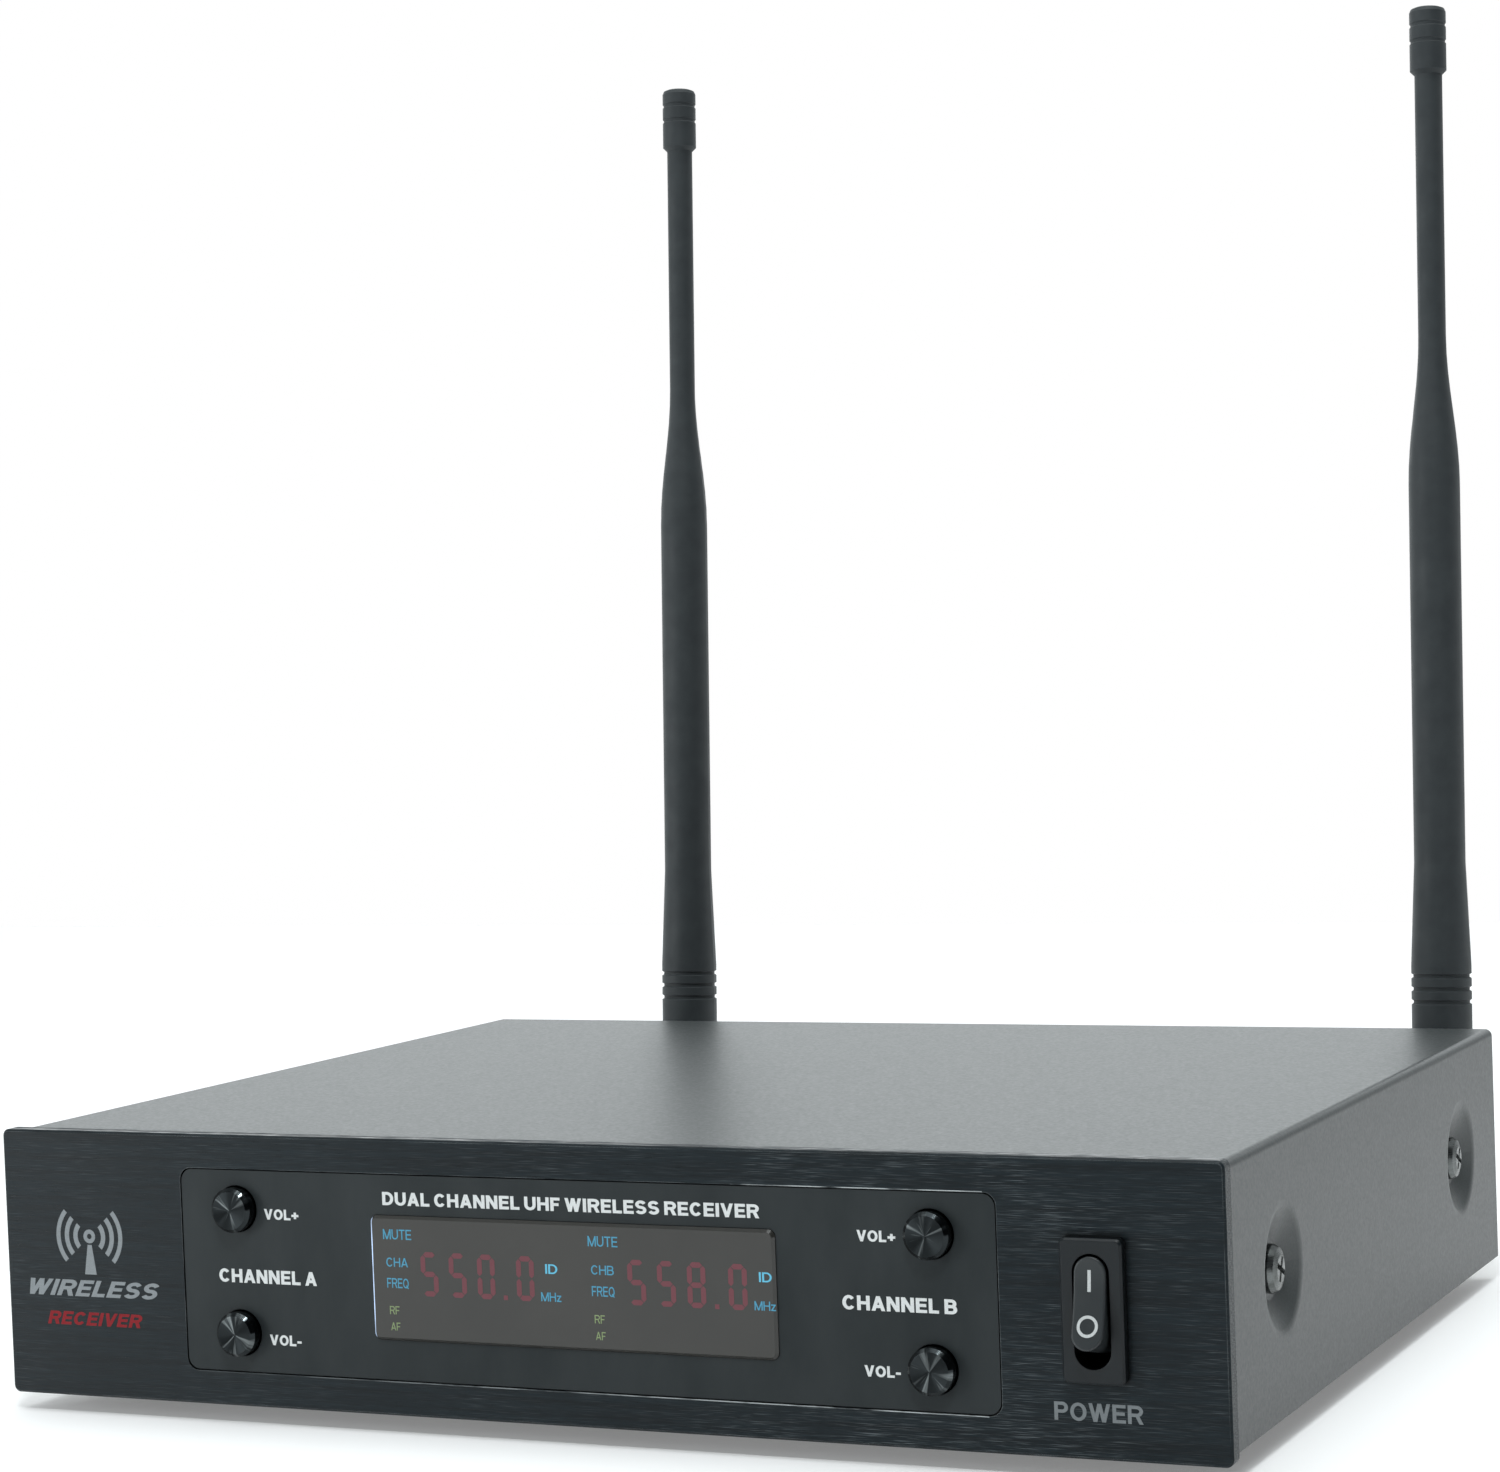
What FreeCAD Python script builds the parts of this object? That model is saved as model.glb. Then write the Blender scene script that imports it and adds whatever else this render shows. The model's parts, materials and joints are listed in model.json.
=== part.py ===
import FreeCAD, Part
import itertools
import math
import os
import re
import Sketcher

# Two-channel wireless receiver: a half-rack steel case behind a brushed front panel, with four volume
# buttons, a display window, a power rocker, rear sockets and two folding antennas.
#
# Frame: +X to the right as seen from the front, +Y to the back, +Z up. The origin lies on the surface that
# the feet stand on, in the middle of the overall width and depth. Lengths are millimetres.

SIZES = {
    # front panel
    "PanelWidth": 210.5,
    "PanelHeight": 44.0,
    "PanelThick": 3.0,
    "PanelCorner": 1.2,
    "PanelBevel": 0.35,
    "FrontFace": -102.5,          # Y of the panel's face, so that the origin is mid-depth
    "FootDrop": 3.0,              # panel's lower edge above the resting surface
    "RoundMargin": 0.02,          # a full half-round stops this far short of the middle
    # studs and nuts that hold the panel to the chassis
    "StudSpreadX": 195.0,
    "StudSpreadZ": 28.0,
    "StudRadius": 1.5,
    "StudLength": 7.0,
    "StudHole": 1.7,
    "NutAcross": 5.5,
    "NutHeight": 2.4,
    "ThreadPlay": 0.05,
    # case
    "CaseInset": 0.6,             # cover side to panel end
    "CaseTopDrop": 0.5,           # cover top below panel top
    "CaseBottomRise": 1.2,        # case bottom above panel bottom
    "CaseDepth": 171.5,           # panel face to the cover's rear edge
    "SheetThick": 1.0,
    "CoverBend": 1.3,             # outside radius of the folds
    "ChassisGap": 0.2,            # chassis sheet to cover sheet
    "RearRecess": 1.0,            # rear wall inside the cover's rear edge
    "FlangeHeight": 9.0,
    "DisplayCutWidth": 140.0,     # openings in the chassis front, behind the display and the switch
    "DisplayCutHeight": 32.0,
    "SwitchCutWidth": 12.0,
    "SwitchCutHeight": 22.0,
    "FootRadius": 6.0,
    "FootTread": 4.8,             # radius of a foot's flat underside
    "FootEdge": 0.5,              # height of its rounded-off edge
    "FootSpreadX": 172.0,
    "FootFrontInset": 20.0,
    "FootRearInset": 18.0,
    # cover screws and their dimples
    "DimpleRadius": 9.75,
    "DimpleFloor": 4.7,
    "DimpleDepth": 2.3,
    "DimpleRimRound": 3.2,
    "DimpleFloorRound": 0.9,
    "ScrewRise": 23.3,            # screw axis above panel bottom
    "ScrewFront": 30.3,           # front screw axis behind the panel face
    "ScrewRear": 144.5,
    "ScrewHead": 3.75,
    "ScrewHeadHeight": 1.9,
    "ScrewShank": 1.95,
    "ScrewLength": 7.0,
    "ScrewHole": 2.2,
    "TabWidth": 15.0,
    "TabTop": 7.0,                # tab's upper edge above the screw axis
    # overlay and display window
    "OverlayWidth": 140.6,
    "OverlayHeight": 32.6,
    "OverlayCorner": 2.0,
    "OverlayPocket": 0.8,
    "OverlayThick": 0.7,
    "OverlayGap": 0.2,
    "WindowWidth": 70.0,
    "WindowHeight": 19.8,
    "WindowCorner": 1.2,
    "WindowProud": 0.45,
    "WindowLedge": 2.0,
    "WindowGap": 0.05,
    # volume buttons and the switches behind them
    "ButtonSpread": 120.0,
    "ButtonRise": 20.1,
    "ButtonRadius": 3.6,
    "ButtonBevel": 0.55,
    "ButtonProud": 2.2,
    "ButtonDish": 0.12,
    "ButtonDishEdge": 0.2,        # dish's rim inside the bevel
    "ButtonGap": 0.2,
    "ButtonFlange": 4.7,
    "ButtonFlangeThick": 0.8,
    "FlangeGap": 0.3,             # flange behind the panel's back
    "StemRadius": 2.4,
    "StemEnd": 4.9,               # rear end of the stem behind the panel face
    "PlungerRadius": 1.6,
    "PlungerLength": 2.4,
    "PlungerPlay": 0.08,
    "TactSide": 6.0,
    "TactFront": 6.1,
    "TactHoleDepth": 2.6,
    # display board and modules
    "BoardFront": 9.6,            # display board behind the panel face
    "BoardThick": 1.6,
    "DisplayBoardWidth": 136.0,
    "DisplayBoardHeight": 29.0,
    "ModuleSpread": 34.0,
    "ModuleWidth": 31.0,
    "ModuleHeight": 15.0,
    "ModuleGap": 0.4,
    # power switch
    "SwitchPlace": 85.4,
    "BezelWidth": 9.5,
    "BezelHeight": 21.2,
    "BezelProud": 2.0,
    "BezelLift": 0.25,            # bezel's rim clear of the panel
    "BezelUndercut": 0.3,
    "BezelCorner": 0.9,
    "BezelBevel": 0.35,
    "HousingWidth": 8.0,
    "HousingHeight": 19.0,
    "HousingDepth": 14.0,
    "HousingGap": 0.2,
    "WellWidth": 5.6,
    "WellLength": 16.8,
    "WellDepth": 8.6,
    "PivotDepth": 2.8,            # rocker pivot behind the panel face
    "PivotRadius": 0.75,
    "PivotPlay": 0.05,
    "RockerWidth": 4.85,
    "RockerLength": 13.5,
    "RockerRise": 6.9,            # rocker face in front of its pivot
    "RockerRoot": 2.0,
    "RockerHollow": 27.4,         # radius of the hollow face
    "RockerEdge": 0.3,
    "RockerTilt": 13.0,           # in degrees, upper end pressed in
    "BladeSpread": 11.0,
    "BladeWidth": 4.8,
    "BladeThick": 0.8,
    "BladeLength": 7.0,
    # main circuit board
    "MainBoardWidth": 178.0,
    "MainBoardDepth": 118.0,
    "MainBoardFront": 24.0,
    "StandoffHeight": 6.0,
    "StandoffRadius": 3.0,
    "StandoffInset": 8.0,
    "BoardScrewRadius": 1.5,
    "BoardScrewHead": 2.8,
    "BoardScrewHeadHeight": 1.8,
    "BoardScrewLength": 5.4,
    "BoardHole": 1.7,
    "CanSpread": 110.0,
    "CanWidth": 46.0,
    "CanDepth": 38.0,
    "CanHeight": 12.0,
    "CanWall": 0.4,
    "CanRearInset": 14.0,
    "ChipHeight": 1.6,
    "SinkPlace": 44.0,            # left end of the heat sink
    "SinkWidth": 20.0,
    "SinkHeight": 22.0,
    "SinkAlong": 34.0,            # front of the heat sink behind the board's front edge
    "SinkBase": 2.5,
    "FinDepth": 8.0,
    "FinThick": 1.2,
    "FinPitch": 3.5,
    "RegulatorWidth": 10.0,
    "RegulatorThick": 4.5,
    "RegulatorHeight": 15.0,
    "RegulatorRise": 3.0,
    # headers, ribbon and leads
    "HeaderHeight": 6.0,
    "RibbonHeaderWidth": 22.0,
    "RibbonHeaderAlong": 3.0,     # header behind the main board's front edge
    "RibbonHeaderRise": 7.0,      # display board's header above mid-height
    "DisplayHeaderDepth": 5.0,
    "PowerHeaderPlace": 82.0,
    "PowerHeaderWidth": 8.0,
    "PowerHeaderAlong": 24.0,
    "RibbonWidth": 18.0,
    "RibbonThick": 0.9,
    "PowerLeadRadius": 0.9,
    "PowerLeadPitch": 4.0,
    "CoaxRadius": 1.3,
    "CoaxInset": 8.0,             # coaxial lead outward of the middle of its tuner can
    # rear sockets
    "SocketRise": 21.0,           # rear socket axes above panel bottom
    "AntennaLeft": -70.8,
    "AntennaRight": 90.0,
    "OutputLeft": -34.0,
    "OutputRight": 2.0,
    "JackPlace": 35.0,
    "InletPlace": 62.0,
    "OutputFlangeWidth": 26.0,
    "OutputFlangeHeight": 31.0,
    "OutputFlangeThick": 1.8,
    "OutputCorner": 2.5,
    "OutputBevel": 0.4,
    "OutputShell": 11.4,
    "OutputShellGap": 0.3,
    "OutputCavity": 9.3,
    "OutputDepth": 16.0,
    "ContactRing": 4.75,
    "ContactRadius": 1.2,
    "ContactDrop": 3.0,           # contact tips inside the cavity's mouth
    "OutputScrewX": 9.5,
    "OutputScrewZ": 12.0,
    "OutputScrewHead": 2.6,
    "OutputScrewHeadHeight": 1.3,
    "OutputScrewShank": 1.25,
    "OutputScrewLength": 5.2,
    "OutputScrewHole": 1.6,
    "JackBore": 3.25,
    "JackBush": 4.55,
    "JackBushProud": 4.5,
    "JackHole": 4.7,
    "JackCaseWidth": 16.0,
    "JackCaseDepth": 24.0,
    "JackCaseDrop": 6.0,
    "JackCaseRise": 7.0,
    "JackFloor": 2.0,
    "JackNutAcross": 12.0,
    "JackNutHeight": 2.0,
    "JackWasher": 6.8,
    "JackWasherThick": 0.6,
    "InletNose": 5.2,
    "InletNoseProud": 1.0,
    "InletHole": 5.4,
    "InletCaseWidth": 12.0,
    "InletCaseDepth": 12.0,
    "InletCaseHeight": 11.0,
    "InletBore": 2.85,
    "InletBoreDepth": 9.0,
    "InletPin": 1.0,
    "InletPinDrop": 0.5,          # pin's tip inside the rear wall's face
    # antenna socket, levels behind the rear wall
    "BarrelOut": 4.85,
    "BarrelBore": 4.1,
    "BarrelLength": 10.5,
    "BarrelFloor": 2.4,
    "BarrelTail": 6.5,
    "BarrelHole": 5.0,
    "SocketFlange": 6.6,
    "SocketFlangeThick": 1.4,
    "SolderPost": 1.6,
    "SolderEnd": 8.2,
    "CoreRadius": 2.3,
    "CoreEnd": 8.6,
    "LugRadius": 0.95,
    "LugReach": 0.7,
    "LugPlace": 7.0,
    "SocketNutAcross": 12.7,
    "SocketNutHeight": 2.2,
    # bayonet collar
    "CollarOut": 7.2,
    "CollarBore": 5.8,
    "CollarFront": 2.2,
    "CollarBack": 13.5,
    "CollarEdge": 0.4,
    "CollarLip": 4.7,             # bore of the inward lip
    "CollarLipThick": 1.1,
    "FluteRadius": 0.7,
    "FluteOffset": 0.25,          # flute axes outside the collar's surface
    "FluteStart": 4.8,
    "FluteLength": 6.4,
    # plug and forked knuckle
    "PlugFront": 3.0,
    "PlugPlay": 0.1,
    "PlugBore": 2.5,
    "PlugBoreEnd": 10.0,
    "PlugFlange": 5.4,
    "PlugFlangeFront": 10.8,
    "PlugFlangeThick": 1.3,
    "PlugNeck": 4.4,
    "KnuckleFront": 13.8,
    "KnuckleBlock": 2.5,
    "KnuckleRadius": 5.5,
    "HingeBack": 22.0,            # hinge pin behind the rear wall
    "HingePin": 1.5,
    "HingePlay": 0.05,
    "TongueRadius": 5.2,
    "TongueWidth": 6.0,
    "TongueSideGap": 0.15,
    "TongueEndGap": 0.4,
    # whip, levels above the hinge pin
    "WhipRoot": 7.4,              # round part of the whip starts here
    "WhipLength": 217.4,          # hinge pin to tip
    "WhipBase": 5.75,
    "WhipLower": 4.9,
    "WhipUpper": 2.65,
    "WhipEdge": 0.6,
    "RingFirst": 25.2,
    "RingPitch": 2.5,
    "RingHalf": 0.5,
    "RingDepth": 0.4,
    "BaseEnd": 32.0,
    "LowerStart": 52.0,
    "TaperStart": 125.0,
    "TaperLength": 29.0,
    "CapRadius": 3.5,
    "CapLength": 13.0,
    "CapGrooveFirst": 3.4,        # grooves and their depth, measured from the tip
    "CapGroovePitch": 3.2,
    "CapGrooveHalf": 0.45,
    "CapGrooveDepth": 0.2,
    "CapRound": 0.9,
    "CapRoundShare": 0.3,         # where the middle of the rounding lies
    "RadiatorRadius": 0.8,
    "RadiatorPlay": 0.02,
    "RadiatorStart": 13.4,
    "AntennaLean": 3.5,           # backward lean at rest, in degrees
}

document = FreeCAD.newDocument("wireless_receiver")
sheet = document.addObject("Spreadsheet::Sheet", "Sizes")
for row, (alias, value) in enumerate(SIZES.items(), 1):
    sheet.set(f"A{row}", alias)
    sheet.set(f"B{row}", str(value))
    sheet.setAlias(f"B{row}", alias)
document.recompute()

# Places that several sub-parts share, as formulas over the sheet
MID = "(FootDrop + PanelHeight / 2)"
PANEL_BACK = "(FrontFace + PanelThick)"
CASE_SIDE = "(PanelWidth / 2 - CaseInset)"
CASE_TOP = "(FootDrop + PanelHeight - CaseTopDrop)"
CASE_BOTTOM = "(FootDrop + CaseBottomRise)"
CHASSIS_SIDE = f"({CASE_SIDE} - SheetThick - ChassisGap)"
CHASSIS_TOP = f"({CASE_TOP} - SheetThick - ChassisGap)"
FLOOR = f"({CASE_BOTTOM} + SheetThick)"
REAR = "(FrontFace + CaseDepth - RearRecess)"
REAR_INSIDE = f"({REAR} - SheetThick)"
SOCKETS = "(FootDrop + SocketRise)"
SCREWS = "(FootDrop + ScrewRise)"
BOARD = f"({FLOOR} + StandoffHeight)"
BOARD_TOP = f"({BOARD} + BoardThick)"
BOARD_FRONT = "(FrontFace + MainBoardFront)"
BOARD_REAR = f"({BOARD_FRONT} + MainBoardDepth)"
DISPLAY_BACK = "(FrontFace + BoardFront + BoardThick)"
CAP_START = "(WhipLength - CapLength)"

SIDES = (-1, 1)
CHANNELS = {"a": -1, "b": 1}
WAYS = {"up": 1, "down": -1}
ANTENNAS = {"a": "AntennaLeft", "b": "AntennaRight"}
OUTPUTS = {"a": "OutputLeft", "b": "OutputRight"}

# Outline of a domed screw head as shares of its radius and height, and its cross recess likewise
SCREW_DOME = ((1, 0), (1, 0.4), (0.86, 0.8), (0.55, 1))
RECESS_REACH, RECESS_HALF, RECESS_DEPTH, RECESS_TAPER = 0.53, 0.11, 0.68, 0.6

# Components on the main board: x, distance behind the board's front edge, then the size of each
CHIPS = ((-50, 24, 10, 10), (50, 24, 10, 10), (0, 44, 14, 14),
         (-20, 84, 9, 6), (20, 84, 9, 6), (0, 100, 10, 6))
CAPACITORS = ((62, 14, 5, 13), (74, 16, 5, 13), (-72, 20, 4, 11), (-16, 106, 3.2, 9), (16, 106, 3.2, 9))

CONTACT_ANGLES = (90, 210, 330)
FLUTE_COUNT = 20
FIN_COUNT = 6
TAPER_STEPS = 8
RING_COUNT = 3

sub_parts = {}


# ---------------------------------------------------------------- helpers: formulas and solids

def cells(formula):
    """Formula with each size name turned into a reference to the sheet."""
    return re.sub(r"[A-Z][A-Za-z]+", lambda word: "Sizes." + word.group(0), str(formula))


def number(formula):
    """Value of a formula over the sheet."""
    return float(sheet.evalExpression(cells(formula)))


def span(middle, half):
    """Low and high formulas of a stretch centred on a middle."""
    return f"{middle} - ({half})", f"{middle} + ({half})"


def bind(thing, **properties):
    """Bind properties to formulas; a double underscore in a name stands for a dot."""
    for name, formula in properties.items():
        thing.setExpression(name.replace("__", "."), cells(formula))


def place(thing, x="0", y="0", z="0", turn=None):
    """Put an object at formulas x, y, z, turned by an optional rotation."""
    if turn:
        thing.Placement = FreeCAD.Placement(FreeCAD.Vector(), turn)
    bind(thing, Placement__Base__x=x, Placement__Base__y=y, Placement__Base__z=z)
    return thing


def turned(axis, degrees):
    return FreeCAD.Rotation(FreeCAD.Vector(*axis), degrees)


TURNS = {"X": turned((0, 1, 0), 90), "Y": turned((-1, 0, 0), 90), "Z": FreeCAD.Rotation()}


def keep(name, thing):
    """Name a finished sub-part."""
    thing.Label = name
    sub_parts[name] = thing
    return thing


def made(kind, name, **properties):
    thing = document.addObject(kind, name)
    bind(thing, **properties)
    return thing


def block(name, xs, ys, zs):
    """Box between low and high formulas along each axis."""
    lengths = [f"({high}) - ({low})" for low, high in (xs, ys, zs)]
    thing = made("Part::Box", name, Length=lengths[0], Width=lengths[1], Height=lengths[2])
    return place(thing, xs[0], ys[0], zs[0])


def rod(name, axis, radius, length, x="0", y="0", z="0"):
    """Cylinder that starts at x, y, z and runs along an axis."""
    thing = made("Part::Cylinder", name, Radius=radius, Height=length)
    return place(thing, x, y, z, TURNS[axis])


def hexagon(name, axis, across_flats, length, x="0", y="0", z="0"):
    thing = made("Part::Prism", name, Circumradius=f"({across_flats}) / 2 / cos(30)", Height=length)
    thing.Polygon = 6
    return place(thing, x, y, z, TURNS[axis])


def fuse(name, parts):
    thing = document.addObject("Part::MultiFuse", name)
    thing.Shapes = parts
    return thing


def cut(name, base, tools):
    thing = document.addObject("Part::Cut", name)
    thing.Base = base
    thing.Tool = tools[0] if len(tools) == 1 else fuse(f"{name}_tools", tools)
    return thing


def group(name, parts):
    """Separate solids kept in one node."""
    thing = document.addObject("Part::Compound", name)
    thing.Links = parts
    return keep(name, thing)


# ---------------------------------------------------------------- helpers: sketches

def new_body(name, x="0", y="0", z="0", turn=None):
    body = document.addObject("PartDesign::Body", name)
    place(body, x, y, z, turn)
    return keep(name, body)


def new_sketch(body, role, level="0", up="0"):
    """Sketch on a plane of the body's origin, lifted by level along the plane's normal."""
    sketch = body.newObject("Sketcher::SketchObject", f"{body.Name}_sketch")
    plane = next(feature for feature in body.Origin.OriginFeatures if feature.Role == role)
    sketch.AttachmentSupport = [(plane, "")]
    sketch.MapMode = "FlatFace"
    bind(sketch, AttachmentOffset__Base__y=up, AttachmentOffset__Base__z=level)
    return sketch


def front_sketch(body, y="0"):
    """Sketch seen from the front, in the plane Y = y of the body."""
    return new_sketch(body, "XZ_Plane", f"-({y})")


def fix_point(sketch, geometry, end, x, y):
    for kind, formula in (("DistanceX", x), ("DistanceY", y)):
        index = sketch.addConstraint(Sketcher.Constraint(kind, -1, 1, geometry, end, 1.0))
        bind(sketch, **{f"Constraints[{index}]": formula})


def add_outline(sketch, corners):
    """Closed outline through corners given as pairs of formulas."""
    count = len(corners)
    first = sketch.GeometryCount
    ring = [FreeCAD.Vector(10 * math.cos(angle), 10 * math.sin(angle), 0)
            for angle in (2 * math.pi * step / count for step in range(count))]
    for step in range(count):
        sketch.addGeometry(Part.LineSegment(ring[step], ring[(step + 1) % count]), False)
    for step, (x, y) in enumerate(corners):
        following = first + (step + 1) % count
        sketch.addConstraint(Sketcher.Constraint("Coincident", first + step, 2, following, 1))
        fix_point(sketch, first + step, 1, x, y)
    return sketch


def add_rectangle(sketch, xs, ys):
    (left, right), (low, high) = xs, ys
    return add_outline(sketch, [(left, low), (right, low), (right, high), (left, high)])


def add_circle(sketch, radius, x="0", y="0"):
    index = sketch.addGeometry(Part.Circle(FreeCAD.Vector(), FreeCAD.Vector(0, 0, 1), 5), False)
    fix_point(sketch, index, 3, x, y)
    constraint = sketch.addConstraint(Sketcher.Constraint("Radius", index, 5))
    bind(sketch, **{f"Constraints[{constraint}]": radius})
    return sketch


def lathe(name, profile):
    """Part turned round its own Z axis from corners given as (radius, level) formulas."""
    sketch = document.addObject("Sketcher::SketchObject", f"{name}_profile")
    sketch.Placement = FreeCAD.Placement(FreeCAD.Vector(), turned((1, 0, 0), 90))
    add_outline(sketch, profile)
    thing = document.addObject("Part::Revolution", name)
    thing.Source = sketch
    thing.Axis = (0, 0, 1)
    thing.Angle = 360
    thing.Solid = True
    return thing


# ---------------------------------------------------------------- helpers: features of a body

def grown(body, kind, sketch, adds, length=None, **settings):
    """Add a sketched feature and check that it grew or shrank the body."""
    document.recompute()
    before = body.Shape.Volume if body.Tip else 0
    feature = body.newObject(f"PartDesign::{kind}", f"{body.Name}_{kind}")
    feature.Profile = sketch
    if length:
        bind(feature, Length=length)
    for name, value in settings.items():
        setattr(feature, name, value)
    body.Tip = feature
    document.recompute()
    if (body.Shape.Volume > before) != adds or body.Shape.Volume == before:
        raise RuntimeError(f"{feature.Name} changed nothing in {body.Label}")


def sides(back, both):
    """Setting for the side or sides of its sketch that a feature runs to."""
    return {"SideType": "Symmetric"} if both else {"Reversed": back}


def pad(body, sketch, length, back=False, both=False):
    grown(body, "Pad", sketch, True, length, **sides(back, both))


def pocket(body, sketch, length, back=False, both=False):
    grown(body, "Pocket", sketch, False, length, **sides(back, both))


def turn_about(body, sketch, axis, adds=True):
    """Turn a sketch all the way round its horizontal or vertical axis."""
    grown(body, "Revolution" if adds else "Groove", sketch, adds, ReferenceAxis=(sketch, [axis]))


def dress(body, kind, names, amount):
    """Fillet or chamfer named edges of the body's last feature."""
    if not names:
        raise RuntimeError(f"no edge to {kind} on {body.Label}")
    base = body.Tip
    feature = body.newObject(f"PartDesign::{kind}", f"{body.Name}_{kind}")
    feature.Base = (base, names)
    bind(feature, **{"Radius" if kind == "Fillet" else "Size": amount})
    body.Tip = feature
    document.recompute()


def round_corners(body, radius, xs, zs):
    """Fillet the straight edges along Y that pass through every pair of x and z formulas."""
    spots = [(number(x), number(z)) for x, z in itertools.product(xs, zs)]
    names = [f"Edge{index}" for index, edge in enumerate(body.Tip.Shape.Edges, 1)
             if isinstance(edge.Curve, Part.Line) and abs(edge.tangentAt(0).y) > 0.999
             and any(math.hypot(edge.CenterOfMass.x - x, edge.CenterOfMass.z - z) < 0.01 for x, z in spots)]
    dress(body, "Fillet", names, radius)


def round_rims(body, amount, axis, radius, level):
    """Fillet the whole circles of one radius round an axis direction, at one level along it."""
    index = "XYZ".index(axis)
    names = [f"Edge{position}" for position, edge in enumerate(body.Tip.Shape.Edges, 1)
             if isinstance(edge.Curve, Part.Circle) and abs(edge.Curve.Axis[index]) > 0.999
             and abs(edge.Curve.Radius - number(radius)) < 0.01
             and abs(edge.Curve.Center[index] - number(level)) < 0.01]
    dress(body, "Fillet", names, amount)


def dress_outline(body, kind, face, amount):
    """Fillet or chamfer the outer outline of a face of the body's last feature."""
    names = [f"Edge{index}" for index, edge in enumerate(body.Tip.Shape.Edges, 1)
             if any(edge.isSame(outer) for outer in face.OuterWire.Edges)]
    dress(body, kind, names, amount)


def bevel_outline(body, y, amount):
    """Chamfer the outer outline of the widest face in the plane Y = y."""
    faces = [face for face in body.Tip.Shape.Faces if abs(face.CenterOfMass.y - number(y)) < 0.001
             and abs(face.normalAt(0, 0).y) > 0.999]
    dress_outline(body, "Chamfer", max(faces, key=lambda face: face.BoundBox.DiagonalLength), amount)


def add_plate(body, front, xs, zs, thick, corner):
    """Plate that runs back from the plane Y = front, with rounded corners."""
    pad(body, add_rectangle(front_sketch(body, front), xs, zs), thick, back=True)
    round_corners(body, corner, xs, zs)


# ---------------------------------------------------------------- helpers: leads and screws

def tube_path(points):
    """Straight runs joined by tangent arcs; each arc is as large as its two runs allow."""
    points = [FreeCAD.Vector(*point) for point in points]
    pieces = []
    start = points[0]
    for before, corner, after in zip(points, points[1:], points[2:]):
        incoming = (corner - before).normalize()
        outgoing = (after - corner).normalize()
        bend = incoming.getAngle(outgoing)
        reach = 0.45 * min((corner - before).Length, (after - corner).Length)
        radius = reach / math.tan(bend / 2)
        arc_start = corner - incoming * reach
        arc_end = corner + outgoing * reach
        inward = (outgoing - incoming).normalize()
        middle = corner + inward * (radius / math.cos(bend / 2) - radius)
        pieces += [Part.LineSegment(start, arc_start).toShape(),
                   Part.Arc(arc_start, middle, arc_end).toShape()]
        start = arc_end
    pieces.append(Part.LineSegment(start, points[-1]).toShape())
    return Part.Wire(pieces)


def swept(name, section, path, area):
    """Solid swept along a path, checked against the section's area."""
    thing = document.addObject("Part::Feature", name)
    thing.Shape = path.makePipeShell([section], True, False)
    if abs(thing.Shape.Volume / (area * path.Length) - 1) > 0.02:
        raise RuntimeError(f"{name} has a faulty sweep")
    return thing


def lead(name, radius, points):
    """Round insulated lead along a route of points."""
    path = tube_path(points)
    first = path.Edges[0]
    ring = Part.Wire(Part.Circle(first.Vertexes[0].Point, first.tangentAt(0), radius).toShape())
    return swept(name, ring, path, math.pi * radius ** 2)


def cross_screw(head, height, shank, length):
    """Screw along its own Z axis, its seat at the origin, with a domed and cross-recessed head."""
    dome = [(f"{head} * {across}", f"{height} * {up}") for across, up in SCREW_DOME]
    blank = fuse("screw_blank", [lathe("screw_head", [("0", "0")] + dome + [("0", height)]),
                                 rod("screw_shank", "Z", shank, length, z=f"-{length}")])
    reach, half = f"{head} * {RECESS_REACH}", f"{head} * {RECESS_HALF}"
    slots = []
    for angle in (45, 135):
        slot = made("Part::Wedge", "screw_recess", Ymin="0", Ymax=f"{height} * {RECESS_DEPTH}",
                    Xmin=f"-{reach}", X2min=f"-{reach} * {RECESS_TAPER}",
                    Xmax=reach, X2max=f"{reach} * {RECESS_TAPER}",
                    Zmin=f"-{half}", Z2min=f"-{half} * {RECESS_TAPER}",
                    Zmax=half, Z2max=f"{half} * {RECESS_TAPER}")
        downward = turned((0, 0, 1), angle).multiply(turned((1, 0, 0), -90))
        slots.append(place(slot, z=height, turn=downward))
    return cut("screw", blank, slots)


# ---------------------------------------------------------------- front panel, overlay, window

def button_places():
    """Formulas for each button's x and z, keyed by channel and direction."""
    return {(channel, way): (f"{side} * ButtonSpread / 2", f"({MID} + {sign} * ButtonRise / 2)")
            for channel, side in CHANNELS.items() for way, sign in WAYS.items()}


def stud_places():
    return [(f"{side} * StudSpreadX / 2", f"{MID} + {rise} * StudSpreadZ / 2")
            for side, rise in itertools.product(SIDES, SIDES)]


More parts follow.
